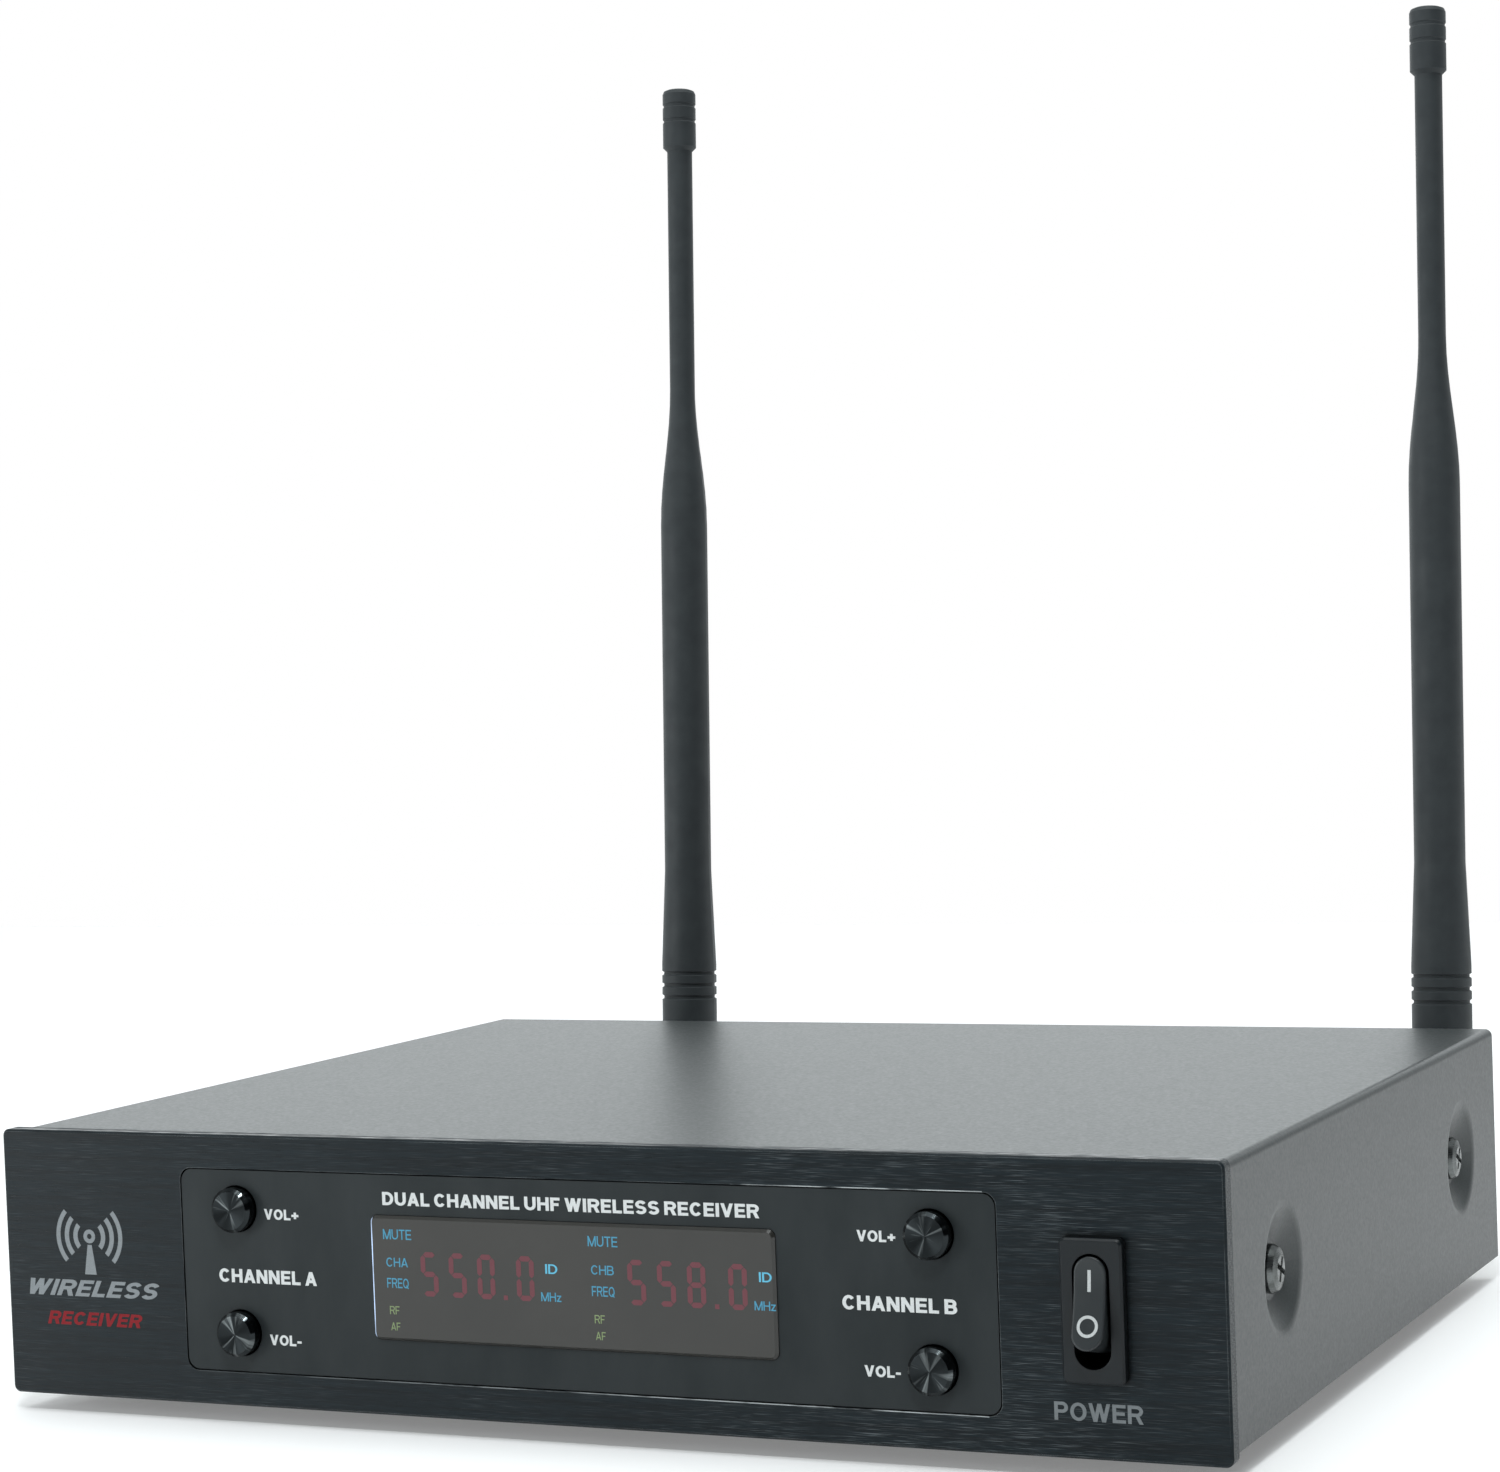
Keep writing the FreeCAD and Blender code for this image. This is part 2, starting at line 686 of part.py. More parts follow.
def front_panel():
    body = new_body("front_panel")
    add_plate(body, "FrontFace", span("0", "PanelWidth / 2"), span(MID, "PanelHeight / 2"), "PanelThick",
              "PanelCorner")
    bevel_outline(body, "FrontFace", "PanelBevel")
    recess_x = span("0", "OverlayWidth / 2 + OverlayGap")
    recess_z = span(MID, "OverlayHeight / 2 + OverlayGap")
    pocket(body, add_rectangle(front_sketch(body, "FrontFace"), recess_x, recess_z), "OverlayPocket")
    round_corners(body, "OverlayCorner", recess_x, recess_z)
    openings = front_sketch(body, "FrontFace")
    add_rectangle(openings, span("0", "WindowWidth / 2 - WindowLedge"),
                  span(MID, "WindowHeight / 2 - WindowLedge"))
    add_rectangle(openings, span("SwitchPlace", "HousingWidth / 2 + HousingGap"),
                  span(MID, "HousingHeight / 2 + HousingGap"))
    for x, z in button_places().values():
        add_circle(openings, "ButtonRadius + ButtonGap", x, z)
    pocket(body, openings, "2 * PanelThick", both=True)


def control_overlay():
    body = new_body("control_overlay")
    front = "FrontFace + OverlayPocket - OverlayThick"
    add_plate(body, front, span("0", "OverlayWidth / 2"), span(MID, "OverlayHeight / 2"), "OverlayThick",
              "OverlayCorner")
    window_x = span("0", "WindowWidth / 2 + WindowGap")
    window_z = span(MID, "WindowHeight / 2 + WindowGap")
    openings = add_rectangle(front_sketch(body, front), window_x, window_z)
    for x, z in button_places().values():
        add_circle(openings, "ButtonRadius + ButtonGap", x, z)
    pocket(body, openings, "3 * OverlayThick", both=True)
    round_corners(body, "WindowCorner", window_x, window_z)


def display_window():
    body = new_body("display_window")
    front = "FrontFace - WindowProud"
    add_plate(body, front, span("0", "WindowWidth / 2"), span(MID, "WindowHeight / 2"),
              "WindowProud + OverlayPocket", "WindowCorner")
    bevel_outline(body, front, "WindowProud")


def panel_fasteners():
    """Studs pressed into the back of the front panel, and the nuts that clamp the chassis flange."""
    flange_back = f"{PANEL_BACK} + SheetThick"
    studs, nuts = [], []
    for x, z in stud_places():
        studs.append(rod("stud", "Y", "StudRadius", "StudLength", x, PANEL_BACK, z))
        bore = rod("nut_bore", "Y", "StudRadius + ThreadPlay", "2 * NutHeight", x, flange_back, z)
        blank = hexagon("nut_blank", "Y", "NutAcross", "NutHeight", x, flange_back, z)
        nuts.append(cut("nut", blank, [bore]))
    group("panel_studs", studs)
    group("panel_nuts", nuts)


# ---------------------------------------------------------------- volume buttons and display board

def volume_buttons():
    """Turned caps with a retaining flange; each stem bears on the plunger of a tactile switch."""
    flange = "(PanelThick + FlangeGap)"
    flange_back = f"{flange} + ButtonFlangeThick"
    edge = "(ButtonRadius - ButtonBevel)"
    profile = [("0", "-ButtonProud + ButtonDish"), (f"{edge} - ButtonDishEdge", "-ButtonProud"),
               (edge, "-ButtonProud"), ("ButtonRadius", "-ButtonProud + ButtonBevel"),
               ("ButtonRadius", flange), ("ButtonFlange", flange), ("ButtonFlange", flange_back),
               ("StemRadius", flange_back), ("StemRadius", "StemEnd"), ("0", "StemEnd")]
    tact_front = "FrontFace + TactFront"
    switches = []
    for (channel, way), (x, z) in button_places().items():
        body = new_body(f"volume_{way}_button_{channel}", x, "FrontFace", z)
        turn_about(body, add_outline(new_sketch(body, "XY_Plane"), profile), "V_Axis")
        keep(f"tact_plunger_{way}_{channel}",
             rod("plunger", "Y", "PlungerRadius", "PlungerLength", x, "FrontFace + StemEnd", z))
        case = block("tact_case", span(x, "TactSide / 2"), (tact_front, "FrontFace + BoardFront"),
                     span(z, "TactSide / 2"))
        hole = rod("tact_hole", "Y", "PlungerRadius + PlungerPlay", "TactHoleDepth", x, tact_front, z)
        switches.append(cut("tact_switch", case, [hole]))
    group("tact_switches", switches)


def display_board():
    front = "FrontFace + BoardFront"
    keep("display_board", block("display_pcb", span("0", "DisplayBoardWidth / 2"), (front, DISPLAY_BACK),
                                span(MID, "DisplayBoardHeight / 2")))
    for channel, side in CHANNELS.items():
        keep(f"display_module_{channel}",
             block("display_module", span(f"{side} * ModuleSpread / 2", "ModuleWidth / 2"),
                   (f"{PANEL_BACK} + ModuleGap", front), span(MID, "ModuleHeight / 2")))


# ---------------------------------------------------------------- power switch

def power_switch():
    """Snap-in housing with a lifted rim and a deep well, and a hollow-faced rocker on a pin across it."""
    body = new_body("switch_housing", "SwitchPlace", "FrontFace", MID)
    add_plate(body, "-BezelProud", span("0", "BezelWidth / 2"), span("0", "BezelHeight / 2"),
              "BezelProud - BezelLift", "BezelCorner")
    bevel_outline(body, "-BezelProud", "BezelBevel")
    base = add_rectangle(front_sketch(body, "-BezelLift"), span("0", "BezelWidth / 2 - BezelUndercut"),
                         span("0", "BezelHeight / 2 - BezelUndercut"))
    pad(body, base, "BezelLift", back=True)
    barrel = add_rectangle(front_sketch(body), span("0", "HousingWidth / 2"), span("0", "HousingHeight / 2"))
    pad(body, barrel, "HousingDepth", back=True)
    well_x, well_z = span("0", "WellWidth / 2"), span("0", "WellLength / 2")
    pocket(body, add_rectangle(front_sketch(body, "-BezelProud"), well_x, well_z), "BezelProud + WellDepth")
    round_corners(body, "WellWidth / 2 - RoundMargin", well_x, well_z)
    bore = add_circle(new_sketch(body, "YZ_Plane"), "PivotRadius", "PivotDepth")
    pocket(body, bore, "2 * HousingWidth", both=True)

    pivot_y = "FrontFace + PivotDepth"
    keep("rocker_pivot", rod("pivot_pin", "X", "PivotRadius", "HousingWidth",
                             "SwitchPlace - HousingWidth / 2", pivot_y, MID))
    rocker = new_body("power_rocker", "SwitchPlace", pivot_y, MID, turned((1, 0, 0), -number("RockerTilt")))
    rocker_x, rocker_z = span("0", "RockerWidth / 2"), span("0", "RockerLength / 2")
    blank = add_rectangle(front_sketch(rocker, "-RockerRise"), rocker_x, rocker_z)
    pad(rocker, blank, "RockerRise + RockerRoot", back=True)
    round_corners(rocker, "RockerWidth / 2 - RoundMargin", rocker_x, rocker_z)
    hollow = add_circle(new_sketch(rocker, "YZ_Plane"), "RockerHollow",
                        "-RockerRise - sqrt(RockerHollow ^ 2 - RockerLength ^ 2 / 4)")
    pocket(rocker, hollow, "2 * RockerWidth", both=True)
    hollow_face = next(face for face in rocker.Tip.Shape.Faces if isinstance(face.Surface, Part.Cylinder)
                       and abs(face.Surface.Radius - number("RockerHollow")) < 0.01)
    dress_outline(rocker, "Fillet", hollow_face, "RockerEdge")
    bearing = add_circle(new_sketch(rocker, "YZ_Plane"), "PivotRadius + PivotPlay")
    pocket(rocker, bearing, "2 * RockerWidth", both=True)

    back = "FrontFace + HousingDepth"
    group("switch_terminals", [
        block("blade", span("SwitchPlace", "BladeThick / 2"), (back, f"{back} + BladeLength"),
              span(f"{MID} + {rise} * BladeSpread / 2", "BladeWidth / 2")) for rise in SIDES])


# ---------------------------------------------------------------- case

def dimple_places():
    return list(itertools.product(SIDES, ("ScrewFront", "ScrewRear")))


def turn_round_screw(body, sign, along, corners, adds):
    """Turn an outline round a cover screw's axis; its corners are (depth below the case side, radius)."""
    outline = [(f"{sign} * ({CASE_SIDE} - ({depth}))", radius) for depth, radius in corners]
    sketch = new_sketch(body, "XY_Plane", SCREWS, f"FrontFace + {along}")
    turn_about(body, add_outline(sketch, outline), "H_Axis", adds)


def top_cover():
    """Sheet folded over the top and both sides, with a pressed dimple under each screw."""
    body = new_body("top_cover")
    blank = add_rectangle(front_sketch(body, PANEL_BACK), span("0", CASE_SIDE), (CASE_BOTTOM, CASE_TOP))
    pad(body, blank, "CaseDepth - PanelThick", back=True)
    round_corners(body, "CoverBend", span("0", CASE_SIDE), [CASE_TOP])
    inner_x, inner_top = span("0", f"{CASE_SIDE} - SheetThick"), f"{CASE_TOP} - SheetThick"
    hollow = add_rectangle(front_sketch(body, PANEL_BACK), inner_x,
                           (f"{CASE_BOTTOM} - SheetThick", inner_top))
    pocket(body, hollow, "2 * CaseDepth", both=True)
    round_corners(body, "CoverBend - SheetThick", inner_x, [inner_top])
    for sign, along in dimple_places():
        bump = "DimpleDepth + SheetThick"
        swelling = [("SheetThick / 2", "0"), ("SheetThick / 2", "DimpleRadius"), (bump, "DimpleFloor"),
                    (bump, "0")]
        dimple = [("0", "0"), ("0", "DimpleRadius"), ("DimpleDepth", "DimpleFloor"), ("DimpleDepth", "0")]
        hole = [("0", "0"), ("0", "ScrewHole"), (f"2 * ({bump})", "ScrewHole"), (f"2 * ({bump})", "0")]
        turn_round_screw(body, sign, along, swelling, adds=True)
        turn_round_screw(body, sign, along, dimple, adds=False)
        turn_round_screw(body, sign, along, hole, adds=False)
    for sign in SIDES:
        round_rims(body, "DimpleRimRound", "X", "DimpleRadius", f"{sign} * {CASE_SIDE}")
        round_rims(body, "DimpleFloorRound", "X", "DimpleFloor", f"{sign} * ({CASE_SIDE} - DimpleDepth)")


def cover_screws():
    """Heads lie in the dimples; shanks reach through the chassis tabs."""
    screws = []
    for sign, along in dimple_places():
        screw = cross_screw("ScrewHead", "ScrewHeadHeight", "ScrewShank", "ScrewLength")
        outward = turned((0, 1, 0), sign * 90).multiply(turned((0, 0, 1), sign * 20))
        screws.append(place(screw, f"{sign} * ({CASE_SIDE} - DimpleDepth)", f"FrontFace + {along}", SCREWS,
                            outward))
    group("cover_screws", screws)


def bottom_chassis():
    """Tray with a front flange, a rear wall for the sockets, side flanges and four screw tabs."""
    body = new_body("bottom_chassis")
    wide = span("0", CHASSIS_SIDE)
    base = add_rectangle(new_sketch(body, "XY_Plane", CASE_BOTTOM), wide, (PANEL_BACK, REAR))
    pad(body, base, "SheetThick")
    wall_z = (f"{CASE_BOTTOM} + SheetThick / 2", CHASSIS_TOP)
    for level in (PANEL_BACK, REAR_INSIDE):
        wall = add_rectangle(front_sketch(body, level), wide, wall_z)
        pad(body, wall, "SheetThick", back=True)
    round_corners(body, "CoverBend - SheetThick", wide, [CHASSIS_TOP])
    for sign in SIDES:
        flange = add_rectangle(new_sketch(body, "XY_Plane", CASE_BOTTOM),
                               span(f"{sign} * ({CHASSIS_SIDE} - SheetThick / 2)", "SheetThick / 2"),
                               (PANEL_BACK, REAR))
        pad(body, flange, "FlangeHeight")
    for sign, along in dimple_places():
        centre = f"FrontFace + {along}"
        tab_x = span(f"{sign} * ({CASE_SIDE} - DimpleDepth - 1.5 * SheetThick)", "SheetThick / 2")
        tab = add_rectangle(new_sketch(body, "XY_Plane", f"{FLOOR} - SheetThick / 2"), tab_x,
                            span(centre, "TabWidth / 2"))
        pad(body, tab, f"{SCREWS} + TabTop - {FLOOR} + SheetThick / 2")
        hole = add_circle(new_sketch(body, "YZ_Plane", tab_x[0]), "ScrewShank + ThreadPlay", centre, SCREWS)
        pocket(body, hole, "4 * SheetThick", both=True)

    front = front_sketch(body, PANEL_BACK)
    add_rectangle(front, span("0", "DisplayCutWidth / 2"), span(MID, "DisplayCutHeight / 2"))
    add_rectangle(front, span("SwitchPlace", "SwitchCutWidth / 2"), span(MID, "SwitchCutHeight / 2"))
    for x, z in stud_places():
        add_circle(front, "StudHole", x, z)
    pocket(body, front, "3 * SheetThick", both=True)

    rear = front_sketch(body, REAR)
    for x in OUTPUTS.values():
        add_circle(rear, "OutputShell + OutputShellGap", x, SOCKETS)
        for sign in SIDES:
            add_circle(rear, "OutputScrewShank + ThreadPlay", f"{x} + {sign} * OutputScrewX",
                       f"{SOCKETS} + {sign} * OutputScrewZ")
    sockets = [(x, "BarrelHole") for x in ANTENNAS.values()]
    for x, radius in [("JackPlace", "JackHole"), ("InletPlace", "InletHole")] + sockets:
        add_circle(rear, radius, x, SOCKETS)
    pocket(body, rear, "3 * SheetThick", both=True)


def rubber_feet():
    feet = []
    for side, along in itertools.product(SIDES, ("FootFrontInset", "CaseDepth - FootRearInset")):
        foot = lathe("foot", [("0", "0"), ("FootTread", "0"), ("FootRadius - FootEdge", "FootEdge"),
                              ("FootRadius", CASE_BOTTOM), ("0", CASE_BOTTOM)])
        feet.append(place(foot, f"{side} * FootSpreadX / 2", f"FrontFace + {along}"))
    group("rubber_feet", feet)


# ---------------------------------------------------------------- electronics

def main_board():
    """Board on four threaded standoffs, held by screws."""
    board = block("pcb", span("0", "MainBoardWidth / 2"), (BOARD_FRONT, BOARD_REAR), (BOARD, BOARD_TOP))
    posts, screws, holes = [], [], []
    rows = (f"{BOARD_FRONT} + StandoffInset", f"{BOARD_REAR} - StandoffInset")
    for side, y in itertools.product(SIDES, rows):
        x = f"{side} * (MainBoardWidth / 2 - StandoffInset)"
        post = rod("post", "Z", "StandoffRadius", "StandoffHeight", x, y, FLOOR)
        thread = rod("post_thread", "Z", "BoardScrewRadius + ThreadPlay", "StandoffHeight", x, y, FLOOR)
        posts.append(cut("standoff", post, [thread]))
        holes.append(rod("board_hole", "Z", "BoardHole", "3 * BoardThick", x, y, f"{BOARD} - BoardThick"))
        head = rod("board_screw_head", "Z", "BoardScrewHead", "BoardScrewHeadHeight", x, y, BOARD_TOP)
        shank = rod("board_screw_shank", "Z", "BoardScrewRadius", "BoardScrewLength", x, y,
                    f"{BOARD_TOP} - BoardScrewLength")
        screws.append(fuse("board_screw", [head, shank]))
    keep("main_board", cut("drilled_board", board, holes))
    group("board_standoffs", posts)
    group("board_screws", screws)


def tuner_cans():
    """Open-bottomed screening cans, one over each channel's tuner."""
    for channel, side in CHANNELS.items():
        middle = f"{side} * CanSpread / 2"
        back = f"{BOARD_REAR} - CanRearInset"
        outer = block("can", span(middle, "CanWidth / 2"), (f"{back} - CanDepth", back),
                      (BOARD_TOP, f"{BOARD_TOP} + CanHeight"))
        inner = block("can_hollow", span(middle, "CanWidth / 2 - CanWall"),
                      (f"{back} - CanDepth + CanWall", f"{back} - CanWall"),
                      (BOARD, f"{BOARD_TOP} + CanHeight - CanWall"))
        keep(f"tuner_can_{channel}", cut("tuner_can", outer, [inner]))


def board_components():
    group("signal_chips", [
        block("chip", span(x, f"{wide} / 2"), span(f"{BOARD_FRONT} + {along}", f"{deep} / 2"),
              (BOARD_TOP, f"{BOARD_TOP} + ChipHeight")) for x, along, wide, deep in CHIPS])
    group("filter_capacitors", [
        rod("capacitor", "Z", radius, height, x, f"{BOARD_FRONT} + {along}", BOARD_TOP)
        for x, along, radius, height in CAPACITORS])

    sink_front = f"{BOARD_FRONT} + SinkAlong"
    sink_z = (BOARD_TOP, f"{BOARD_TOP} + SinkHeight")
    base = block("sink_base", ("SinkPlace", "SinkPlace + SinkWidth"),
                 (sink_front, f"{sink_front} + SinkBase"), sink_z)
    starts = [f"SinkPlace + {step} * FinPitch" for step in range(FIN_COUNT)]
    fins = [block("sink_fin", (start, f"{start} + FinThick"),
                  (f"{sink_front} + SinkBase / 2", f"{sink_front} + SinkBase + FinDepth"), sink_z)
            for start in starts]
    keep("heat_sink", fuse("finned_sink", [base] + fins))
    foot = f"{BOARD_TOP} + RegulatorRise"
    keep("regulator", block("regulator_case", span("SinkPlace + SinkWidth / 2", "RegulatorWidth / 2"),
                            (f"{sink_front} - RegulatorThick", sink_front),
                            (foot, f"{foot} + RegulatorHeight")))


def wiring():
    """Ribbon between the boards, power leads from the switch and coaxial leads from the antenna sockets."""
    ribbon_z = f"{MID} + RibbonHeaderRise"
    ribbon_y = f"{BOARD_FRONT} + RibbonHeaderAlong"
    power_y = f"{BOARD_FRONT} + PowerHeaderAlong"
    header_z = (BOARD_TOP, f"{BOARD_TOP} + HeaderHeight")
    ribbon_x = span("0", "RibbonHeaderWidth / 2")
    group("board_headers", [
        block("header", ribbon_x, (ribbon_y, f"{ribbon_y} + HeaderHeight"), header_z),
        block("header", ribbon_x, (DISPLAY_BACK, f"{DISPLAY_BACK} + DisplayHeaderDepth"),
              span(ribbon_z, "HeaderHeight / 2")),
        block("header", span("PowerHeaderPlace", "PowerHeaderWidth / 2"),
              (power_y, f"{power_y} + HeaderHeight"), header_z)])

    header_top = number(header_z[1])
    start_y, level = number(f"{DISPLAY_BACK} + DisplayHeaderDepth"), number(ribbon_z)
    drop_y = number(f"{ribbon_y} + HeaderHeight / 2")
    half, thick = number("RibbonWidth / 2"), number("RibbonThick")
    section = [(-half, -thick / 2), (half, -thick / 2), (half, thick / 2), (-half, thick / 2)]
    strip = Part.makePolygon([FreeCAD.Vector(x, start_y, level + z) for x, z in section + section[:1]])
    path = tube_path([(0, start_y, level), (0, drop_y, level), (0, drop_y, header_top)])
    keep("ribbon_cable", swept("ribbon", strip, path, 2 * half * thick))

    x, start_y = number("SwitchPlace"), number("FrontFace + HousingDepth + BladeLength")
    drop_y = number(f"{power_y} + HeaderHeight / 2")
    leads = []
    for rise in SIDES:
        z = number(f"{MID} + {rise} * BladeSpread / 2")
        drop_x = number(f"PowerHeaderPlace + {rise} * PowerLeadPitch / 2")
        leads.append(lead("power_lead", number("PowerLeadRadius"),
                          [(x, start_y, z), (x, start_y + 8, z), (drop_x, drop_y, z),
                           (drop_x, drop_y, header_top)]))
    group("power_leads", leads)

    start_y, level = number(f"{REAR_INSIDE} + SheetThick - SolderEnd"), number(SOCKETS)
    can_y, entry = number(f"{BOARD_REAR} - CanRearInset"), number(f"{BOARD_TOP} + CanHeight / 2")
    coax = []
    for channel, side in CHANNELS.items():
        x = number(ANTENNAS[channel])
        can_x = number(f"{side} * (CanSpread / 2 + CoaxInset)")
        coax.append(lead("coax", number("CoaxRadius"),
                         [(x, start_y, level), (x, start_y - 7, level), (can_x, can_y + 8, level - 3),
                          (can_x, can_y + 6, entry), (can_x, can_y, entry)]))
    group("antenna_leads", coax)


# ---------------------------------------------------------------- rear sockets

def balanced_outputs():
    """Output sockets, each screwed to the rear wall by two corners of its flange; returns their contacts."""
    face = f"{REAR} + OutputFlangeThick"
    screws, pins = [], []
    for channel, x in OUTPUTS.items():
        body = new_body(f"balanced_output_{channel}", x, REAR, SOCKETS)
        add_plate(body, "0", span("0", "OutputFlangeWidth / 2"), span("0", "OutputFlangeHeight / 2"),
                  "OutputFlangeThick", "OutputCorner")
        bevel_outline(body, "OutputFlangeThick", "OutputBevel")
        pad(body, add_circle(front_sketch(body), "OutputShell"), "OutputDepth")
        cavity = add_circle(front_sketch(body, "OutputFlangeThick"), "OutputCavity")
        pocket(body, cavity, "OutputDepth", back=True)
        fixings = front_sketch(body, "OutputFlangeThick")
        for sign in SIDES:
            across, up = f"{sign} * OutputScrewX", f"{sign} * OutputScrewZ"
            add_circle(fixings, "OutputScrewHole", across, up)
            screw = cross_screw("OutputScrewHead", "OutputScrewHeadHeight", "OutputScrewShank",
                                "OutputScrewLength")
            screws.append(place(screw, f"{x} + {across}", face, f"{SOCKETS} + {up}", TURNS["Y"]))
        pocket(body, fixings, "2 * OutputFlangeThick", back=True)
        for angle in CONTACT_ANGLES:
            pins.append(rod("contact", "Y", "ContactRadius", "OutputDepth - ContactDrop",
                            f"{x} + ContactRing * cos({angle})", f"{face} - OutputDepth",
                            f"{SOCKETS} + ContactRing * sin({angle})"))
    group("output_screws", screws)
    return pins


def mixed_output():
    """Phone jack: threaded bush through the rear wall, closed case inside, washer and nut outside."""
    bush_length = "SheetThick + JackBushProud"
    bush = rod("jack_bush", "Y", "JackBush", bush_length, "JackPlace", REAR_INSIDE, SOCKETS)
    case = block("jack_case", span("JackPlace", "JackCaseWidth / 2"),
                 (f"{REAR_INSIDE} - JackCaseDepth", REAR_INSIDE),
                 (f"{SOCKETS} - JackCaseDrop", f"{SOCKETS} + JackCaseRise"))
    bore = rod("jack_bore", "Y", "JackBore", f"JackCaseDepth + {bush_length}", "JackPlace",
               f"{REAR_INSIDE} - JackCaseDepth + JackFloor", SOCKETS)
    keep("output_jack", cut("jack", fuse("jack_blank", [bush, case]), [bore]))
    washer = rod("jack_washer", "Y", "JackWasher", "JackWasherThick", "JackPlace", REAR, SOCKETS)
    nut = hexagon("jack_hexagon", "Y", "JackNutAcross", "JackNutHeight", "JackPlace",
                  f"{REAR} + JackWasherThick", SOCKETS)
    hole = rod("jack_nut_bore", "Y", "JackBush + ThreadPlay", "JackBushProud", "JackPlace", REAR, SOCKETS)
    keep("jack_nut", cut("jack_nut_ring", fuse("jack_nut_blank", [nut, washer]), [hole]))


def power_inlet():
    """Barrel socket held behind the rear wall; returns its centre pin."""
    nose = rod("inlet_nose", "Y", "InletNose", "SheetThick + InletNoseProud", "InletPlace", REAR_INSIDE,
               SOCKETS)
    case = block("inlet_case", span("InletPlace", "InletCaseWidth / 2"),
                 (f"{REAR_INSIDE} - InletCaseDepth", REAR_INSIDE), span(SOCKETS, "InletCaseHeight / 2"))
    floor = f"{REAR} - InletBoreDepth"
    bore = rod("inlet_bore", "Y", "InletBore", "2 * InletBoreDepth", "InletPlace", floor, SOCKETS)
    keep("power_inlet", cut("inlet_shell", fuse("inlet_blank", [nose, case]), [bore]))
    return rod("inlet_pin", "Y", "InletPin", "InletBoreDepth - InletPinDrop", "InletPlace", floor, SOCKETS)


def rear_sockets():
    mixed_output()
    group("socket_contacts", balanced_outputs() + [power_inlet()])


# ---------------------------------------------------------------- antennas

def antenna_socket(channel, x):
    """Bayonet socket through the rear wall: barrel with two lugs, insulated core and solder post."""
    body = new_body(f"antenna_socket_{channel}", x, REAR, SOCKETS)
    profile = [("0", "-SolderEnd"), ("SolderPost", "-SolderEnd"), ("SolderPost", "-BarrelTail"),
               ("BarrelOut", "-BarrelTail"), ("BarrelOut", "0"), ("SocketFlange", "0"),
               ("SocketFlange", "SocketFlangeThick"), ("BarrelOut", "SocketFlangeThick"),
               ("BarrelOut", "BarrelLength"), ("0", "BarrelLength")]
    turn_about(body, add_outline(new_sketch(body, "XY_Plane"), profile), "V_Axis")
    lugs = add_circle(new_sketch(body, "XY_Plane"), "LugRadius", "0", "LugPlace")
    pad(body, lugs, "2 * (BarrelOut + LugReach)", both=True)
    hollow = [("CoreRadius", "BarrelFloor"), ("BarrelBore", "BarrelFloor"), ("BarrelBore", "BarrelLength"),
              ("0", "BarrelLength"), ("0", "CoreEnd"), ("CoreRadius", "CoreEnd")]
    turn_about(body, add_outline(new_sketch(body, "XY_Plane"), hollow), "V_Axis", adds=False)


def antenna_nut(x):
    front = f"{REAR_INSIDE} - SocketNutHeight"
    ring = hexagon("socket_nut_blank", "Y", "SocketNutAcross", "SocketNutHeight", x, front, SOCKETS)
    bore = rod("socket_nut_bore", "Y", "BarrelOut + ThreadPlay", "SocketNutHeight", x, front, SOCKETS)
    return cut("socket_nut", ring, [bore])


def bayonet_collar(channel, x):
    """Grip ring round the socket, with a fluted outside and an inward lip behind the plug's flange."""
    lip = "CollarBack - CollarLipThick"
    edge = "CollarOut - CollarEdge"
    ring = lathe("collar_ring", [("CollarBore", "CollarFront"), (edge, "CollarFront"),
                                 ("CollarOut", "CollarFront + CollarEdge"),
                                 ("CollarOut", "CollarBack - CollarEdge"), (edge, "CollarBack"),
                                 ("CollarLip", "CollarBack"), ("CollarLip", lip), ("CollarBore", lip)])
    flutes = []
    for angle in (360 * step / FLUTE_COUNT for step in range(FLUTE_COUNT)):
        across, up = (f"(CollarOut + FluteOffset) * {way}({angle})" for way in ("cos", "sin"))
        flutes.append(rod("collar_flute", "Z", "FluteRadius", "FluteLength", across, up, "FluteStart"))
    keep(f"bayonet_collar_{channel}", place(cut("collar", ring, flutes), x, REAR, SOCKETS, TURNS["Y"]))


